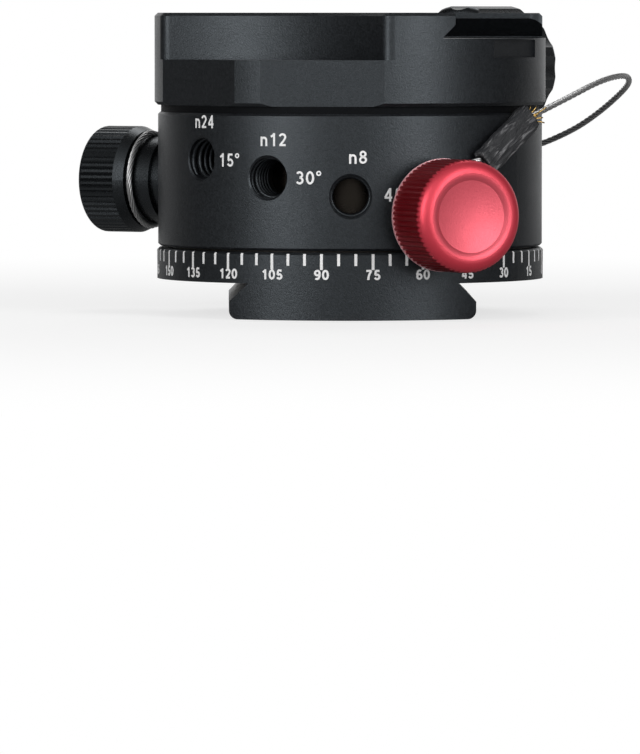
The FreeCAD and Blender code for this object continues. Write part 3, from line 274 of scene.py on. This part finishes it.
def red_dyed():
    """Red anodised aluminium knob, with painted shade, a painted highlight and a painted sheen: darker red on
    its knurl and neck, pale pink on its turned ridge, paler pink in the dish of its face.
    """
    def sockets(r):
        fine = r.speckle(3600, 3, 0.6)
        haze = r.speckle(120, 3, 0.55, 0.4)
        out = r.along(around(INDEX_AZIMUTH, 1, 0))
        ridge = out.above(RIDGE_FROM, RIDGE_BLUR) * (1 - out.above(RIDGE_TO, RIDGE_BLUR))
        front = out.above(KNURL_TO, KNURL_BLUR)
        beside = r.along((math.cos(INDEX_AZIMUTH), math.sin(INDEX_AZIMUTH), 0))
        up = r.along((0, 0, 1)) - INDEX_AXIS["height"] * MM
        apart = (beside * beside + up * up).maths("SQRT")
        # painted shade: the knurl and neck behind the knob's front get a much darker red than the front
        knurl_painted_shade = r.blend(fine, (0.20, 0.003, 0.008, 1), (0.31, 0.005, 0.013, 1))
        # painted sheen: the dish in the knob's face is a paler, greyer pink than its rim, as if lit
        turned = r.blend(apart.above(DISH, DISH_BLUR), (0.82, 0.115, 0.155, 1), (0.82, 0.06, 0.095, 1))
        faced = r.blend(front, knurl_painted_shade, turned)
        return {
            # painted highlight: the turned ridge is coloured a pale pink, as if it caught the light all round
            "Base Color": r.blend(ridge, faced, (1.0, 0.62, 0.66, 1)),
            "Roughness": (haze - 0.5) * 0.10 + (fine - 0.5) * 0.12 + front * 0.06 + 0.34,
            "Metallic": 0.55, "Specular IOR Level": 0.7,
            "Normal": r.bumped(fine, 0.03 * MM, 0.8),
        }
    return finish("red_anodised", sockets)


TURNING_PITCH = 0.18 * MM
WORN = 0.82


def turned_metal(name, colour, rough):
    """Machined metal, smeared a little darker, with fine turning marks up its height."""
    def sockets(r):
        marks = (r.along((0, 0, 1)) * (2 * math.pi / TURNING_PITCH)).maths("SINE")
        smear = r.speckle(700, 2, 0.6)
        return {
            "Base Color": r.blend(smear, (*(c * WORN for c in colour), 1), (*colour, 1)),
            "Metallic": 1.0, "Roughness": (smear - 0.5) * 0.16 + rough,
            "Normal": r.bumped(marks * 0.5 + smear, 0.004 * MM, 0.6),
        }
    return finish(name, sockets)


def plastic(name, dark, light):
    """Moulded plastic with an even, fine grain."""
    def sockets(r):
        fine = r.speckle(900, 3, 0.6)
        return {
            "Base Color": r.blend(fine, (*dark, 1), (*light, 1)),
            "Roughness": (fine - 0.5) * 0.2 + 0.5,
            "Normal": r.bumped(fine, 0.03 * MM, 0.7),
        }
    return finish(name, sockets)


def printed_white():
    """Laser-cut and filled lettering, speckled a little greyer in places."""
    def sockets(r):
        fine = r.speckle(5200, 3, 0.7)
        return {
            "Base Color": r.blend(fine.above(0.28, 0.25), grey(0.86), grey(0.97)),
            "Roughness": (fine - 0.5) * 0.2 + 0.55,
            "Normal": r.bumped(fine, 0.01 * MM, 0.5),
        }
    return finish("printed_white", sockets)


CREASE_STRETCH = 0.85


def shrink_tube():
    """Black shrink tube: creased along its length, with a painted sheen that makes its crease ridges a paler
    grey.
    """
    def sockets(r):
        axis = (Vector(INDEX_SLEEVE[1]) - Vector(INDEX_SLEEVE[0])).normalized()
        lengthwise = r.node("VectorMath", {"operation": "SCALE"},
                            {"Vector": tuple(axis), "Scale": r.along(axis)})
        squeezed = r.vector("MULTIPLY_ADD", lengthwise, (-CREASE_STRETCH,) * 3, r.place())
        crease = r.node("TexNoise", {}, {"Vector": squeezed, "Scale": 1500.0, "Detail": 3.0,
                                         "Roughness": 0.55, "Distortion": 0.5}, "Fac")
        fine = r.speckle(3000, 3, 0.6)
        ridge = crease.above(0.52, 0.22)
        return {
            # painted sheen: the crease ridges are coloured a paler grey, as if catching the light
            "Base Color": r.blend(ridge, (0.022, 0.023, 0.026, 1), (0.30, 0.30, 0.31, 1)),
            "Roughness": 0.5 - ridge * 0.12 + (fine - 0.5) * 0.2,
            "Specular IOR Level": 0.8,
            "Normal": r.bumped(crease + fine * 0.12, 0.4 * MM, 0.9),
        }
    return finish("shrink_tube", sockets)


def wire_strand():
    """Drawn steel wire, dull grey, darker in random patches."""
    def sockets(r):
        fine = r.speckle(2600, 3, 0.6)
        slow = r.speckle(160, 2, 0.5)
        return {
            "Base Color": r.blend(slow * 0.5 + fine * 0.5, grey(0.5), grey(0.86)),
            "Metallic": 1.0, "Roughness": (fine - 0.5) * 0.2 + 0.38,
            "Normal": r.bumped(fine, 0.01 * MM, 0.5),
        }
    return finish("wire_strand", sockets)


BLACK = anodised("black_anodised", (0.0010, 0.0012, 0.0016), (0.0165, 0.0180, 0.0205),
                 rough=0.36, specular=0.62)
# painted shade: the neck plate gets a darker, duller black than the housing, so the gap under the clamp reads
# as shadow
NECK_PAINTED_SHADE = anodised("neck_painted_shade", (0.0012, 0.0012, 0.0014), (0.003, 0.003, 0.0035),
                       rough=0.6, specular=0.12)
DEEP_BLACK = anodised("knob_black", (0.0012, 0.0012, 0.0015), (0.004, 0.0042, 0.0048),
                      rough=0.28, specular=0.75, grain=0.4)
RED = red_dyed()
# painted shade: the detent drum and retaining nut get a near-black metal, so the drum reads dark down the
# index holes
DRUM_PAINTED_SHADE = turned_metal("drum_painted_shade", (0.036, 0.031, 0.026), 0.3)
STEEL = turned_metal("stainless", (0.62, 0.61, 0.60), 0.26)
DARK_STEEL = turned_metal("dark_steel", (0.24, 0.24, 0.25), 0.34)
SPRING = turned_metal("spring_steel", (0.42, 0.41, 0.40), 0.3)
BRASS = turned_metal("brass", (0.72, 0.48, 0.16), 0.3)
NYLON = plastic("nylon", (0.62, 0.61, 0.56), (0.72, 0.71, 0.67))
SLIP = plastic("slip_ring", (0.018, 0.015, 0.012), (0.04, 0.034, 0.027))
WHITE = printed_white()
TUBE = shrink_tube()
STRAND = wire_strand()

FINISH_OF = {
    "scale_base": BLACK, "housing": BLACK, "clamp_base": BLACK, "moving_jaw": BLACK,
    "neck_plate": NECK_PAINTED_SHADE, "clamp_knob": DEEP_BLACK, "lock_knob": DEEP_BLACK,
    "index_knob": RED, "index_barrel": DARK_STEEL,
    "detent_drum": DRUM_PAINTED_SHADE, "retaining_nut": DRUM_PAINTED_SHADE, "tripod_bush": STEEL, "drum_screws": DARK_STEEL,
    "plate_screws": DARK_STEEL, "clamp_screws": DARK_STEEL, "guide_pins": STEEL, "jaw_screw": STEEL,
    "lock_screw": STEEL, "index_pin": STEEL, "jaw_springs": SPRING, "index_spring": SPRING,
    "lock_pad": BRASS, "knob_washer": NYLON, "lower_slip_ring": SLIP, "upper_slip_ring": SLIP,
    "lanyard_wire": STRAND, "index_loop": STRAND, "lock_loop": STRAND, "index_sleeve": TUBE,
    "lock_sleeve": TUBE,
}


def finish_nodes():
    """Each piece of the head gets its finish."""
    for name, material in FINISH_OF.items():
        for slot in nodes[name].material_slots:
            slot.link = "OBJECT"
            slot.material = material


finish_nodes()


# ------------------------------------------------------------------ wire lanyard

LOOP_CORNERS = 5
TAIL_SPREAD = 0.75
SPLINE_STEPS = 24
STRANDS = 6
STRAND_SIDES = 7
STRAND_SWELL = 1.04
LAY_LENGTH = 7.0 * MM
ROPE_STEP = 0.35 * MM


def loop_route(sleeve_end, azimuth, height, ring, at):
    """The loop's points: out of the sleeve, round the knob's neck and back, in millimetres."""
    place = outward(azimuth, height)
    end = place.inverted() @ Vector(sleeve_end)
    middle = math.atan2(end.y, end.x)
    touch = math.acos(ring / math.hypot(end.x, end.y))
    step = 2 * (math.pi - touch) / LOOP_CORNERS
    spread = Vector((-math.sin(middle), math.cos(middle), 0)) * TAIL_SPREAD
    route = [end + spread]
    for corner in range(LOOP_CORNERS):
        angle = middle + touch + step * (corner + 0.5)
        reach = ring / math.cos(step / 2)
        route.append(Vector((reach * math.cos(angle), reach * math.sin(angle), at)))
    route.append(end - spread)
    return [place @ point for point in route]


def smooth_line(name, route):
    """Points along the NURBS spline that has the route as its control points."""
    data = bpy.data.curves.new(name + "_line", "CURVE")
    data.dimensions = "3D"
    data.resolution_u = SPLINE_STEPS
    spline = data.splines.new("NURBS")
    spline.points.add(len(route) - 1)
    for point, place in zip(spline.points, route):
        point.co = (*(Vector(place) * MM), 1)
    spline.order_u = 3
    spline.use_endpoint_u = True
    bare = bpy.data.objects.new(name + "_line", data)
    mesh = bpy.data.meshes.new_from_object(bare)
    line = [v.co.copy() for v in mesh.vertices]
    bpy.data.meshes.remove(mesh)
    bpy.data.objects.remove(bare)
    bpy.data.curves.remove(data)
    return line


def evenly(line, step):
    """The line again, with points about a step apart."""
    lengths = [0.0]
    for before, after in zip(line, line[1:]):
        lengths.append(lengths[-1] + (after - before).length)
    count = max(2, round(lengths[-1] / step))
    found, k = [], 0
    for index in range(count + 1):
        at = lengths[-1] * index / count
        while k < len(line) - 2 and lengths[k + 1] < at:
            k += 1
        part = (at - lengths[k]) / max(lengths[k + 1] - lengths[k], 1e-12)
        found.append(line[k].lerp(line[k + 1], part))
    return found


def frames_along(line):
    """Side vectors along a line that don't twist about it."""
    tangents = []
    for k in range(len(line)):
        tangents.append((line[min(k + 1, len(line) - 1)] - line[max(k - 1, 0)]).normalized())
    side = tangents[0].orthogonal().normalized()
    pairs = []
    for tangent in tangents:
        side = (side - tangent * side.dot(tangent)).normalized()
        pairs.append((side, tangent.cross(side)))
    return pairs


def tube_rings(line, radius, sides):
    """Round rings square to a line."""
    return [[centre + (side * math.cos(2 * math.pi * k / sides) + up * math.sin(2 * math.pi * k / sides))
             * radius for k in range(sides)]
            for centre, (side, up) in zip(line, frames_along(line))]


def rope(name, route, body, node):
    """A laid wire rope: strands wound round a core, along the route's spline."""
    line = evenly(smooth_line(name, route), ROPE_STEP)
    frames = frames_along(line)
    strand = WIRE / 6
    skins = []
    for number in range(STRANDS + 1):
        path = []
        for k, (centre, (side, up)) in enumerate(zip(line, frames)):
            angle = 2 * math.pi * (number / STRANDS + k * ROPE_STEP / LAY_LENGTH)
            away = 0 if number == STRANDS else WIRE / 2 - strand
            path.append(centre + (side * math.cos(angle) + up * math.sin(angle)) * away)
        skins.append(stitched(tube_rings(path, strand * STRAND_SWELL, STRAND_SIDES)))
    made = solid(name, *gather(skins), STRAND, body, "wire_rope")
    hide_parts(node)
    return made, line


# ------------------------------------------------------------------ sleeves and frayed ends

SLEEVE_LEAN = math.radians(26.0)
SLEEVE_HALF_WIDTH, SLEEVE_HALF_THICK = 2.15 * MM, 1.05 * MM
SLEEVE_ROWS, SLEEVE_SIDES = 46, 56
SLEEVE_SQUARENESS = 0.6
SLEEVE_TAPER, TAPER_POWER = 0.05, 7
CRIMP_DEPTH, CRIMP_AT, CRIMP_WIDTH = 0.06, 0.12, 0.05
# how fast the creases change across, up and along a sleeve, and their two sizes: pace and depth
CREASE_PACE = (3.4, 2.2, 2.2)
CREASES = ((1.4, 0.12), (3.7, 0.07))
# a sleeve's rounded ends: each ring's size and how far it stands past the end
MOUTH, MOUTH_PLUG = (0.72, 0.0), (0.6, -0.5 * MM)
FRAYED_WIRES, FRAYED_RADIUS, FRAYED_SIDES = 18, 0.11 * MM, 6
FRAYED_STEPS = (0.0, 0.2, 0.4, 0.6, 0.8, 1.0)
FRAYED_SCATTER, FRAYED_SUNK, FRAYED_LEAN = 1.5 * MM, 0.3 * MM, 0.9
FRAYED_LEAST, FRAYED_SPREAD = 1.1 * MM, 1.6 * MM


def shrink_sleeve(name, ends, body, node, seed):
    """A crimped wire end in shrink tube: flat, creased and pinched towards its ends."""
    start, end = (Vector(in_metres(p)) for p in ends)
    along = (end - start).normalized()
    middle = start.lerp(end, 0.5)
    away = around(math.atan2(middle.x, -middle.y) - SLEEVE_LEAN, 1, 0)
    flat = along.cross(away).normalized()
    thick = along.cross(flat).normalized()
    rings = []
    for row in range(SLEEVE_ROWS + 1):
        part = row / SLEEVE_ROWS
        crimp = CRIMP_DEPTH * math.exp(-((part - CRIMP_AT) / CRIMP_WIDTH) ** 2)
        pinch = 1 - SLEEVE_TAPER * abs(2 * part - 1) ** TAPER_POWER - crimp
        centre = start.lerp(end, part)
        ring = []
        for k in range(SLEEVE_SIDES):
            angle = 2 * math.pi * k / SLEEVE_SIDES
            across = math.copysign(abs(math.cos(angle)) ** SLEEVE_SQUARENESS, math.cos(angle))
            up = math.copysign(abs(math.sin(angle)) ** SLEEVE_SQUARENESS, math.sin(angle))
            spot = Vector((across * CREASE_PACE[0], up * CREASE_PACE[1], part * CREASE_PACE[2] + seed))
            swell = pinch * (1 + sum(noise.noise(spot * pace) * depth for pace, depth in CREASES))
            ring.append(centre + flat * across * SLEEVE_HALF_WIDTH * swell
                        + thick * up * SLEEVE_HALF_THICK * swell)
        rings.append(ring)
    first, last = rings[0], rings[-1]
    for size, past in (MOUTH, MOUTH_PLUG):
        rings.insert(0, [start + (p - start) * size - along * past for p in first])
        rings.append([end + (p - end) * size + along * past for p in last])
    made = solid(name, *stitched(rings), TUBE, body, "sleeve")
    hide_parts(node)
    return made


# where the three parts of a wire's lean are read in the noise, so that each run gives the same wires
FRAYED_SHIFTS = ((9.321, -1.531, -7.951), (0.0, 0.0, 0.0), (6.327, 0.1671, -2.672))


def frayed_wires(name, place, along, body, seed):
    """Short ends of fine brass wire that stick out of a crimp."""
    skins = []
    for number in range(FRAYED_WIRES):
        spot = Vector((number * 1.7, seed, 0.3))
        lean = Vector([noise.noise(spot + Vector(shift)) for shift in FRAYED_SHIFTS])
        start = place + lean * FRAYED_SCATTER - along * FRAYED_SUNK
        reach = FRAYED_LEAST + FRAYED_SPREAD * abs(lean.x)
        bend = (along + lean * FRAYED_LEAN).normalized()
        path = [start + along * (reach * t) * (1 - t) + bend * (reach * t) * t for t in FRAYED_STEPS]
        skins.append(stitched(tube_rings(path, FRAYED_RADIUS, FRAYED_SIDES)))
    return solid(name, *gather(skins), BRASS, body, "brass")


def make_lanyard():
    """The lanyard with its sleeves and frayed ends, and the loop round each knob's neck."""
    sleeve_a = shrink_sleeve("index_shrink_sleeve", INDEX_SLEEVE, "rotor", "index_sleeve", 3.1)
    sleeve_b = shrink_sleeve("lock_shrink_sleeve", LOCK_SLEEVE, "rotor", "lock_sleeve", 8.4)
    start, end = (Vector(in_metres(p)) for p in INDEX_SLEEVE)
    ends_a = frayed_wires("index_frayed_ends", end, (end - start).normalized(), "rotor", 2.0)
    wire, line = rope("lanyard_rope", LANYARD_ROUTE, "rotor", "lanyard_wire")
    loop_a = loop_route(INDEX_SLEEVE[0], **INDEX_AXIS)
    wire, line = rope("index_rope_loop", loop_a, "rotor", "index_loop")
    loop_b = loop_route(LOCK_SLEEVE[0], **LOCK_AXIS)
    wire, line = rope("lock_rope_loop", loop_b, "rotor", "lock_loop")


make_lanyard()


# ------------------------------------------------------------------ printed scale and numbers

RING_RADIUS = 30.2 * MM
HOUSING_RADIUS = 30.06 * MM
PRINT_LIFT = 0.012 * MM
PRINT_THICKNESS = 0.02 * MM
SCALE_ZERO = math.radians(112.7)
TICK_STEP = 5
LABEL_STEP = 15
RING_WALL, TICK_TOP = 10.0 * MM, 10.16 * MM
TICK_LONG, TICK_SHORT, TICK_WIDTH, TICK_COLUMNS = 2.4 * MM, 1.78 * MM, 0.44 * MM, 3
# how much of the ink's lift goes up at the wall's top corner and at the bevel's top
CORNER_LIFT, BEVEL_LIFT = 0.4, 0.7
SCALE_DIGIT, SCALE_DIGIT_HEIGHT, SCALE_WIDEN, SCALE_WEIGHT = 1.52 * MM, 7.0 * MM, 1.04, 0.21
STOPS = (24, 12, 8, 4)
MARKED_STOPS = (24, 12, 8)
STOP_DIGIT, STOP_FROM, STOP_STEP = 2.0 * MM, math.radians(-17.3), math.radians(25.3)
STOP_HEIGHT, STOP_DROP = 30.26 * MM, 2.64 * MM
ANGLE_DIGIT, ANGLE_FROM, ANGLE_STEP = 2.05 * MM, math.radians(-7.35), math.radians(26.0)
ANGLE_HEIGHT, ANGLE_DROP = 24.42 * MM, 2.6 * MM
NUMBER_WEIGHT, RING_WEIGHT = 0.16, 0.11


def bow(centre, reach, start, stop, steps=14):
    """Points on an ellipse's arc, with its angles in degrees."""
    found = []
    for k in range(steps + 1):
        angle = math.radians(start + (stop - start) * k / steps)
        found.append((centre[0] + reach[0] * math.cos(angle), centre[1] + reach[1] * math.sin(angle)))
    return found


GLYPH_WIDTH = 0.64
ADVANCE, NARROW_ADVANCE = 0.78, 0.45


def half_turned(strokes):
    """A glyph turned upside down."""
    return [[(GLYPH_WIDTH - x, 1 - y) for x, y in stroke] for stroke in strokes]


SIX = [bow((0.33, 0.31), (0.22, 0.225), 0, 360, 24), bow((0.36, 0.5), (0.25, 0.415), 55, 190)]
GLYPHS = {
    "0": [bow((0.32, 0.5), (0.235, 0.415), 0, 360, 28)],
    "1": [[(0.40, 0.0), (0.40, 1.0)], [(0.40, 0.95), (0.30, 0.82), (0.13, 0.72)]],
    "2": [bow((0.31, 0.70), (0.225, 0.215), 165, -25) + [(0.40, 0.42), (0.13, 0.1)],
          [(0.06, 0.085), (0.57, 0.085)]],
    "3": [bow((0.30, 0.715), (0.2, 0.2), 155, -90), bow((0.30, 0.295), (0.23, 0.21), 90, -155)],
    "4": [[(0.45, 0.0), (0.45, 1.0)], [(0.43, 0.93), (0.08, 0.33)], [(0.03, 0.29), (0.60, 0.29)]],
    "5": [[(0.55, 0.915), (0.17, 0.915)], [(0.20, 0.93), (0.14, 0.47)],
          bow((0.32, 0.31), (0.225, 0.225), 145, -160)],
    "6": SIX,
    "7": [[(0.06, 0.915), (0.58, 0.915)], [(0.53, 0.90), (0.37, 0.62), (0.28, 0.32), (0.24, 0.0)]],
    "8": [bow((0.32, 0.735), (0.185, 0.18), 0, 360, 24), bow((0.32, 0.295), (0.225, 0.21), 0, 360, 24)],
    "9": half_turned(SIX),
    "n": [[(0.12, 0.0), (0.12, 0.73)], bow((0.325, 0.44), (0.205, 0.205), 180, 0) + [(0.53, 0.0)]],
    "°": [bow((0.2, 0.83), (0.14, 0.14), 0, 360, 18)],
}


def band(path, width):
    """Left and right edges of a stroke of even width."""
    closed = math.dist(path[0], path[-1]) < 1e-6
    edges = []
    for k, (x, y) in enumerate(path):
        before = path[k - 1] if k else (path[-2] if closed else path[0])
        after = path[k + 1] if k < len(path) - 1 else (path[1] if closed else path[-1])
        lean = Vector((after[0] - before[0], after[1] - before[1])).normalized()
        side = Vector((-lean.y, lean.x)) * width / 2
        edges.append(((x + side.x, y + side.y), (x - side.x, y - side.y)))
    return edges


def print_words(words, size, azimuth, height, radius, weight, widen=1.0):
    """Raised ink: a word wrapped on a round wall, its middle at an azimuth and a height."""
    advances = [NARROW_ADVANCE if letter == "°" else ADVANCE for letter in words]
    left = -(sum(advances) - ADVANCE + GLYPH_WIDTH) / 2
    parts = []
    for letter, advance in zip(words, advances):
        for path in GLYPHS[letter]:
            rings = []
            for (xl, yl), (xr, yr) in band(path, RING_WEIGHT if letter == "°" else weight):
                corners = ((xl, yl, 0), (xr, yr, 0), (xr, yr, 1), (xl, yl, 1))
                rings.append([around(azimuth + (left + x) * size * widen / radius,
                                     radius + PRINT_LIFT + lift * PRINT_THICKNESS,
                                     height + (y - 0.5) * size) for x, y, lift in corners])
            parts.append(stitched(rings))
        left += advance
    return gather(parts)


def print_tick(azimuth, length):
    """A short upright line on the ring, from its bevelled top edge down its wall."""
    sides = []
    for lift in (PRINT_LIFT, PRINT_LIFT + PRINT_THICKNESS):
        sides.append([(RING_RADIUS + lift, TICK_TOP - length),
                      (RING_RADIUS + lift, RING_WALL + lift * CORNER_LIFT),
                      (RING_RADIUS - (TICK_TOP - RING_WALL) + lift * BEVEL_LIFT,
                       TICK_TOP + lift * BEVEL_LIFT)])
    outline = sides[0] + sides[1][::-1]
    turns = [azimuth + (k / TICK_COLUMNS - 0.5) * TICK_WIDTH / RING_RADIUS for k in range(TICK_COLUMNS + 1)]
    return stitched([[around(turn, radius, height) for radius, height in outline] for turn in turns])


def make_scale():
    """Lines every five degrees round the ring, longer and numbered every fifteen."""
    parts = []
    for degrees in range(0, 360, TICK_STEP):
        azimuth = SCALE_ZERO - math.radians(degrees)
        labelled = degrees % LABEL_STEP == 0
        length = TICK_LONG if labelled else TICK_SHORT
        parts.append(print_tick(azimuth, length))
        if labelled:
            parts.append(print_words(str(degrees), SCALE_DIGIT, azimuth, SCALE_DIGIT_HEIGHT, RING_RADIUS,
                                     SCALE_WEIGHT, SCALE_WIDEN))
    solid("scale_print", *gather(parts), WHITE, "base", "black_anodised", smooth=False)


def make_numbers():
    """Over each index hole its number of stops in a turn, and beside it the angle of one."""
    parts = []
    for hole, stops in enumerate(STOPS):
        parts.append(print_words(f"n{stops}", STOP_DIGIT, STOP_FROM + STOP_STEP * hole,
                                 STOP_HEIGHT - STOP_DROP * hole, HOUSING_RADIUS, NUMBER_WEIGHT))
        if stops in MARKED_STOPS:
            parts.append(print_words(f"{360 // stops}°", ANGLE_DIGIT, ANGLE_FROM + ANGLE_STEP * hole,
                                     ANGLE_HEIGHT - ANGLE_DROP * hole, HOUSING_RADIUS, NUMBER_WEIGHT))
    solid("number_print", *gather(parts), WHITE, "rotor", "black_anodised", smooth=False)


make_scale()
make_numbers()


# ------------------------------------------------------------------ threads in the index holes

FIRST_HOLE, HOLE_STEP = math.radians(-19.0), math.radians(25.1)
FIRST_HEIGHT, HEIGHT_STEP = 24.55 * MM, 2.8 * MM
OPEN_HOLES = (0, 1, 2)
THREAD_PITCH = 1.0 * MM
THREAD_ROOT = 3.12 * MM
THREAD_CREST = 2.72 * MM
THREAD_FROM, THREAD_TO = 22.7 * MM, 29.35 * MM
THREAD_STEPS = 40
# the ridge rises over its first half turn and sinks over its last, and is never quite flat
THREAD_FADE, THREAD_LEAST = 2, 0.05


def thread(azimuth, height):
    """A helical ridge on the wall of a threaded hole."""
    place = outward(azimuth, height)
    profile = ((THREAD_ROOT, 0.0), (THREAD_CREST, 0.42), (THREAD_CREST, 0.58), (THREAD_ROOT, 1.0))
    turns = (THREAD_TO - THREAD_FROM) / THREAD_PITCH - 1
    steps = round(turns * THREAD_STEPS)
    rings = []
    for k in range(steps + 1):
        angle = 2 * math.pi * k / THREAD_STEPS
        fade = min(1.0, k / THREAD_STEPS * THREAD_FADE, (steps - k) / THREAD_STEPS * THREAD_FADE)
        ring = []
        for radius, along in profile:
            reach = THREAD_ROOT - (THREAD_ROOT - radius) * max(fade, THREAD_LEAST)
            out = THREAD_FROM + THREAD_PITCH * (k / THREAD_STEPS + along)
            ring.append(place @ Vector((reach * math.cos(angle), reach * math.sin(angle), out)))
        rings.append(ring)
    return stitched(rings)


def make_threads():
    parts = [thread(FIRST_HOLE + HOLE_STEP * hole, FIRST_HEIGHT - HEIGHT_STEP * hole) for hole in OPEN_HOLES]
    solid("index_threads", *gather(parts), BLACK, "rotor", "black_anodised")


make_threads()


# ------------------------------------------------------------------ studio

# the room's brightness, from before the head (0) by its sides to behind it (1)
GLOW = ((0.0, 0.95), (0.12, 0.7), (0.3, 0.3), (0.5, 0.06), (0.68, 0.015), (0.8, 0.12), (0.9, 0.5),
        (1.0, 0.9))
FLOOR_RADIUS, FLOOR_SIDES, FLOOR_DROP = 0.45, 96, 0.1 * MM
FLOOR_TONE, FLOOR_GLOW = 0.34, 0.72
FADE_FROM, FADE_WIDTH = 0.07, 0.22
AIM_AT = Vector((0, 0, 0.03))


def studio_world():
    """White where it is seen; for light and reflections it is bright before and behind the head only."""
    world = bpy.data.worlds.new("studio")
    bpy.context.scene.world = world
    r = Recipe(world)
    behind = -around(VIEW_AZIMUTH, 1, 0)
    direction = r.node("TexCoord", out="Generated")
    facing = r.vector("DOT_PRODUCT", direction, behind, out="Value")
    glow = r.node("ValToRGB", {"stops": [(place, (level,) * 3) for place, level in GLOW]},
                  {"Fac": facing * 0.5 + 0.5})
    seen = r.node("LightPath", out="Is Camera Ray")
    background = r.node("Background", {}, {"Color": r.blend(seen, glow, grey(1.0)), "Strength": 1.0})
    r.node("OutputWorld", {}, {"Surface": background})


def floor():
    """A pale round floor that fades into the white round it."""
    material = bpy.data.materials.new("studio_floor")
    r = Recipe(material)
    distance = r.vector("LENGTH", r.place(), out="Value")
    fade = distance.above(FADE_FROM, FADE_WIDTH)
    seen = r.node("LightPath", out="Is Camera Ray")
    matt = r.node("BsdfDiffuse", {}, {"Color": grey(FLOOR_TONE)})
    glow = r.node("Emission", {}, {"Color": grey(1.0), "Strength": FLOOR_GLOW})
    lit = r.node("AddShader", {}, {0: matt, 1: glow})
    white = r.node("Emission", {}, {"Color": grey(1.0), "Strength": 1.0})
    to_white = r.node("MixShader", {}, {0: fade, 1: lit, 2: white})
    shader = r.node("MixShader", {}, {0: seen, 1: matt, 2: to_white})
    r.node("OutputMaterial", {}, {"Surface": shader})
    rim = [around(2 * math.pi * k / FLOOR_SIDES, FLOOR_RADIUS, 0) for k in range(FLOOR_SIDES)]
    mesh = bpy.data.meshes.new("floor")
    mesh.from_pydata([tuple(p) for p in rim], [], [tuple(range(FLOOR_SIDES))])
    mesh.materials.append(material)
    made = show(bpy.data.objects.new("floor", mesh))
    made.location.z = -FLOOR_DROP


def softbox(name, turn, distance, height, width, tall, radiance):
    """A rectangular soft light aimed at the head, a turn away from the camera's side."""
    data = bpy.data.lights.new(name, "AREA")
    data.shape = "RECTANGLE"
    data.size, data.size_y = width, tall
    data.energy = radiance * math.pi * width * tall
    lamp = show(bpy.data.objects.new(name, data))
    lamp.location = around(VIEW_AZIMUTH + math.radians(turn), distance, height)
    aim = AIM_AT - lamp.location
    lamp.rotation_euler = aim.to_track_quat("-Z", "Y").to_euler()


studio_world()
floor()
softbox("left_softbox", turn=-42, distance=0.75, height=0.12, width=0.26, tall=0.75, radiance=4.6)
softbox("right_softbox", turn=40, distance=0.75, height=0.12, width=0.26, tall=0.75, radiance=4.6)
softbox("top_softbox", turn=180, distance=0.55, height=0.75, width=0.5, tall=0.4, radiance=2.2)

bpy.context.scene.view_settings.view_transform = "Standard"
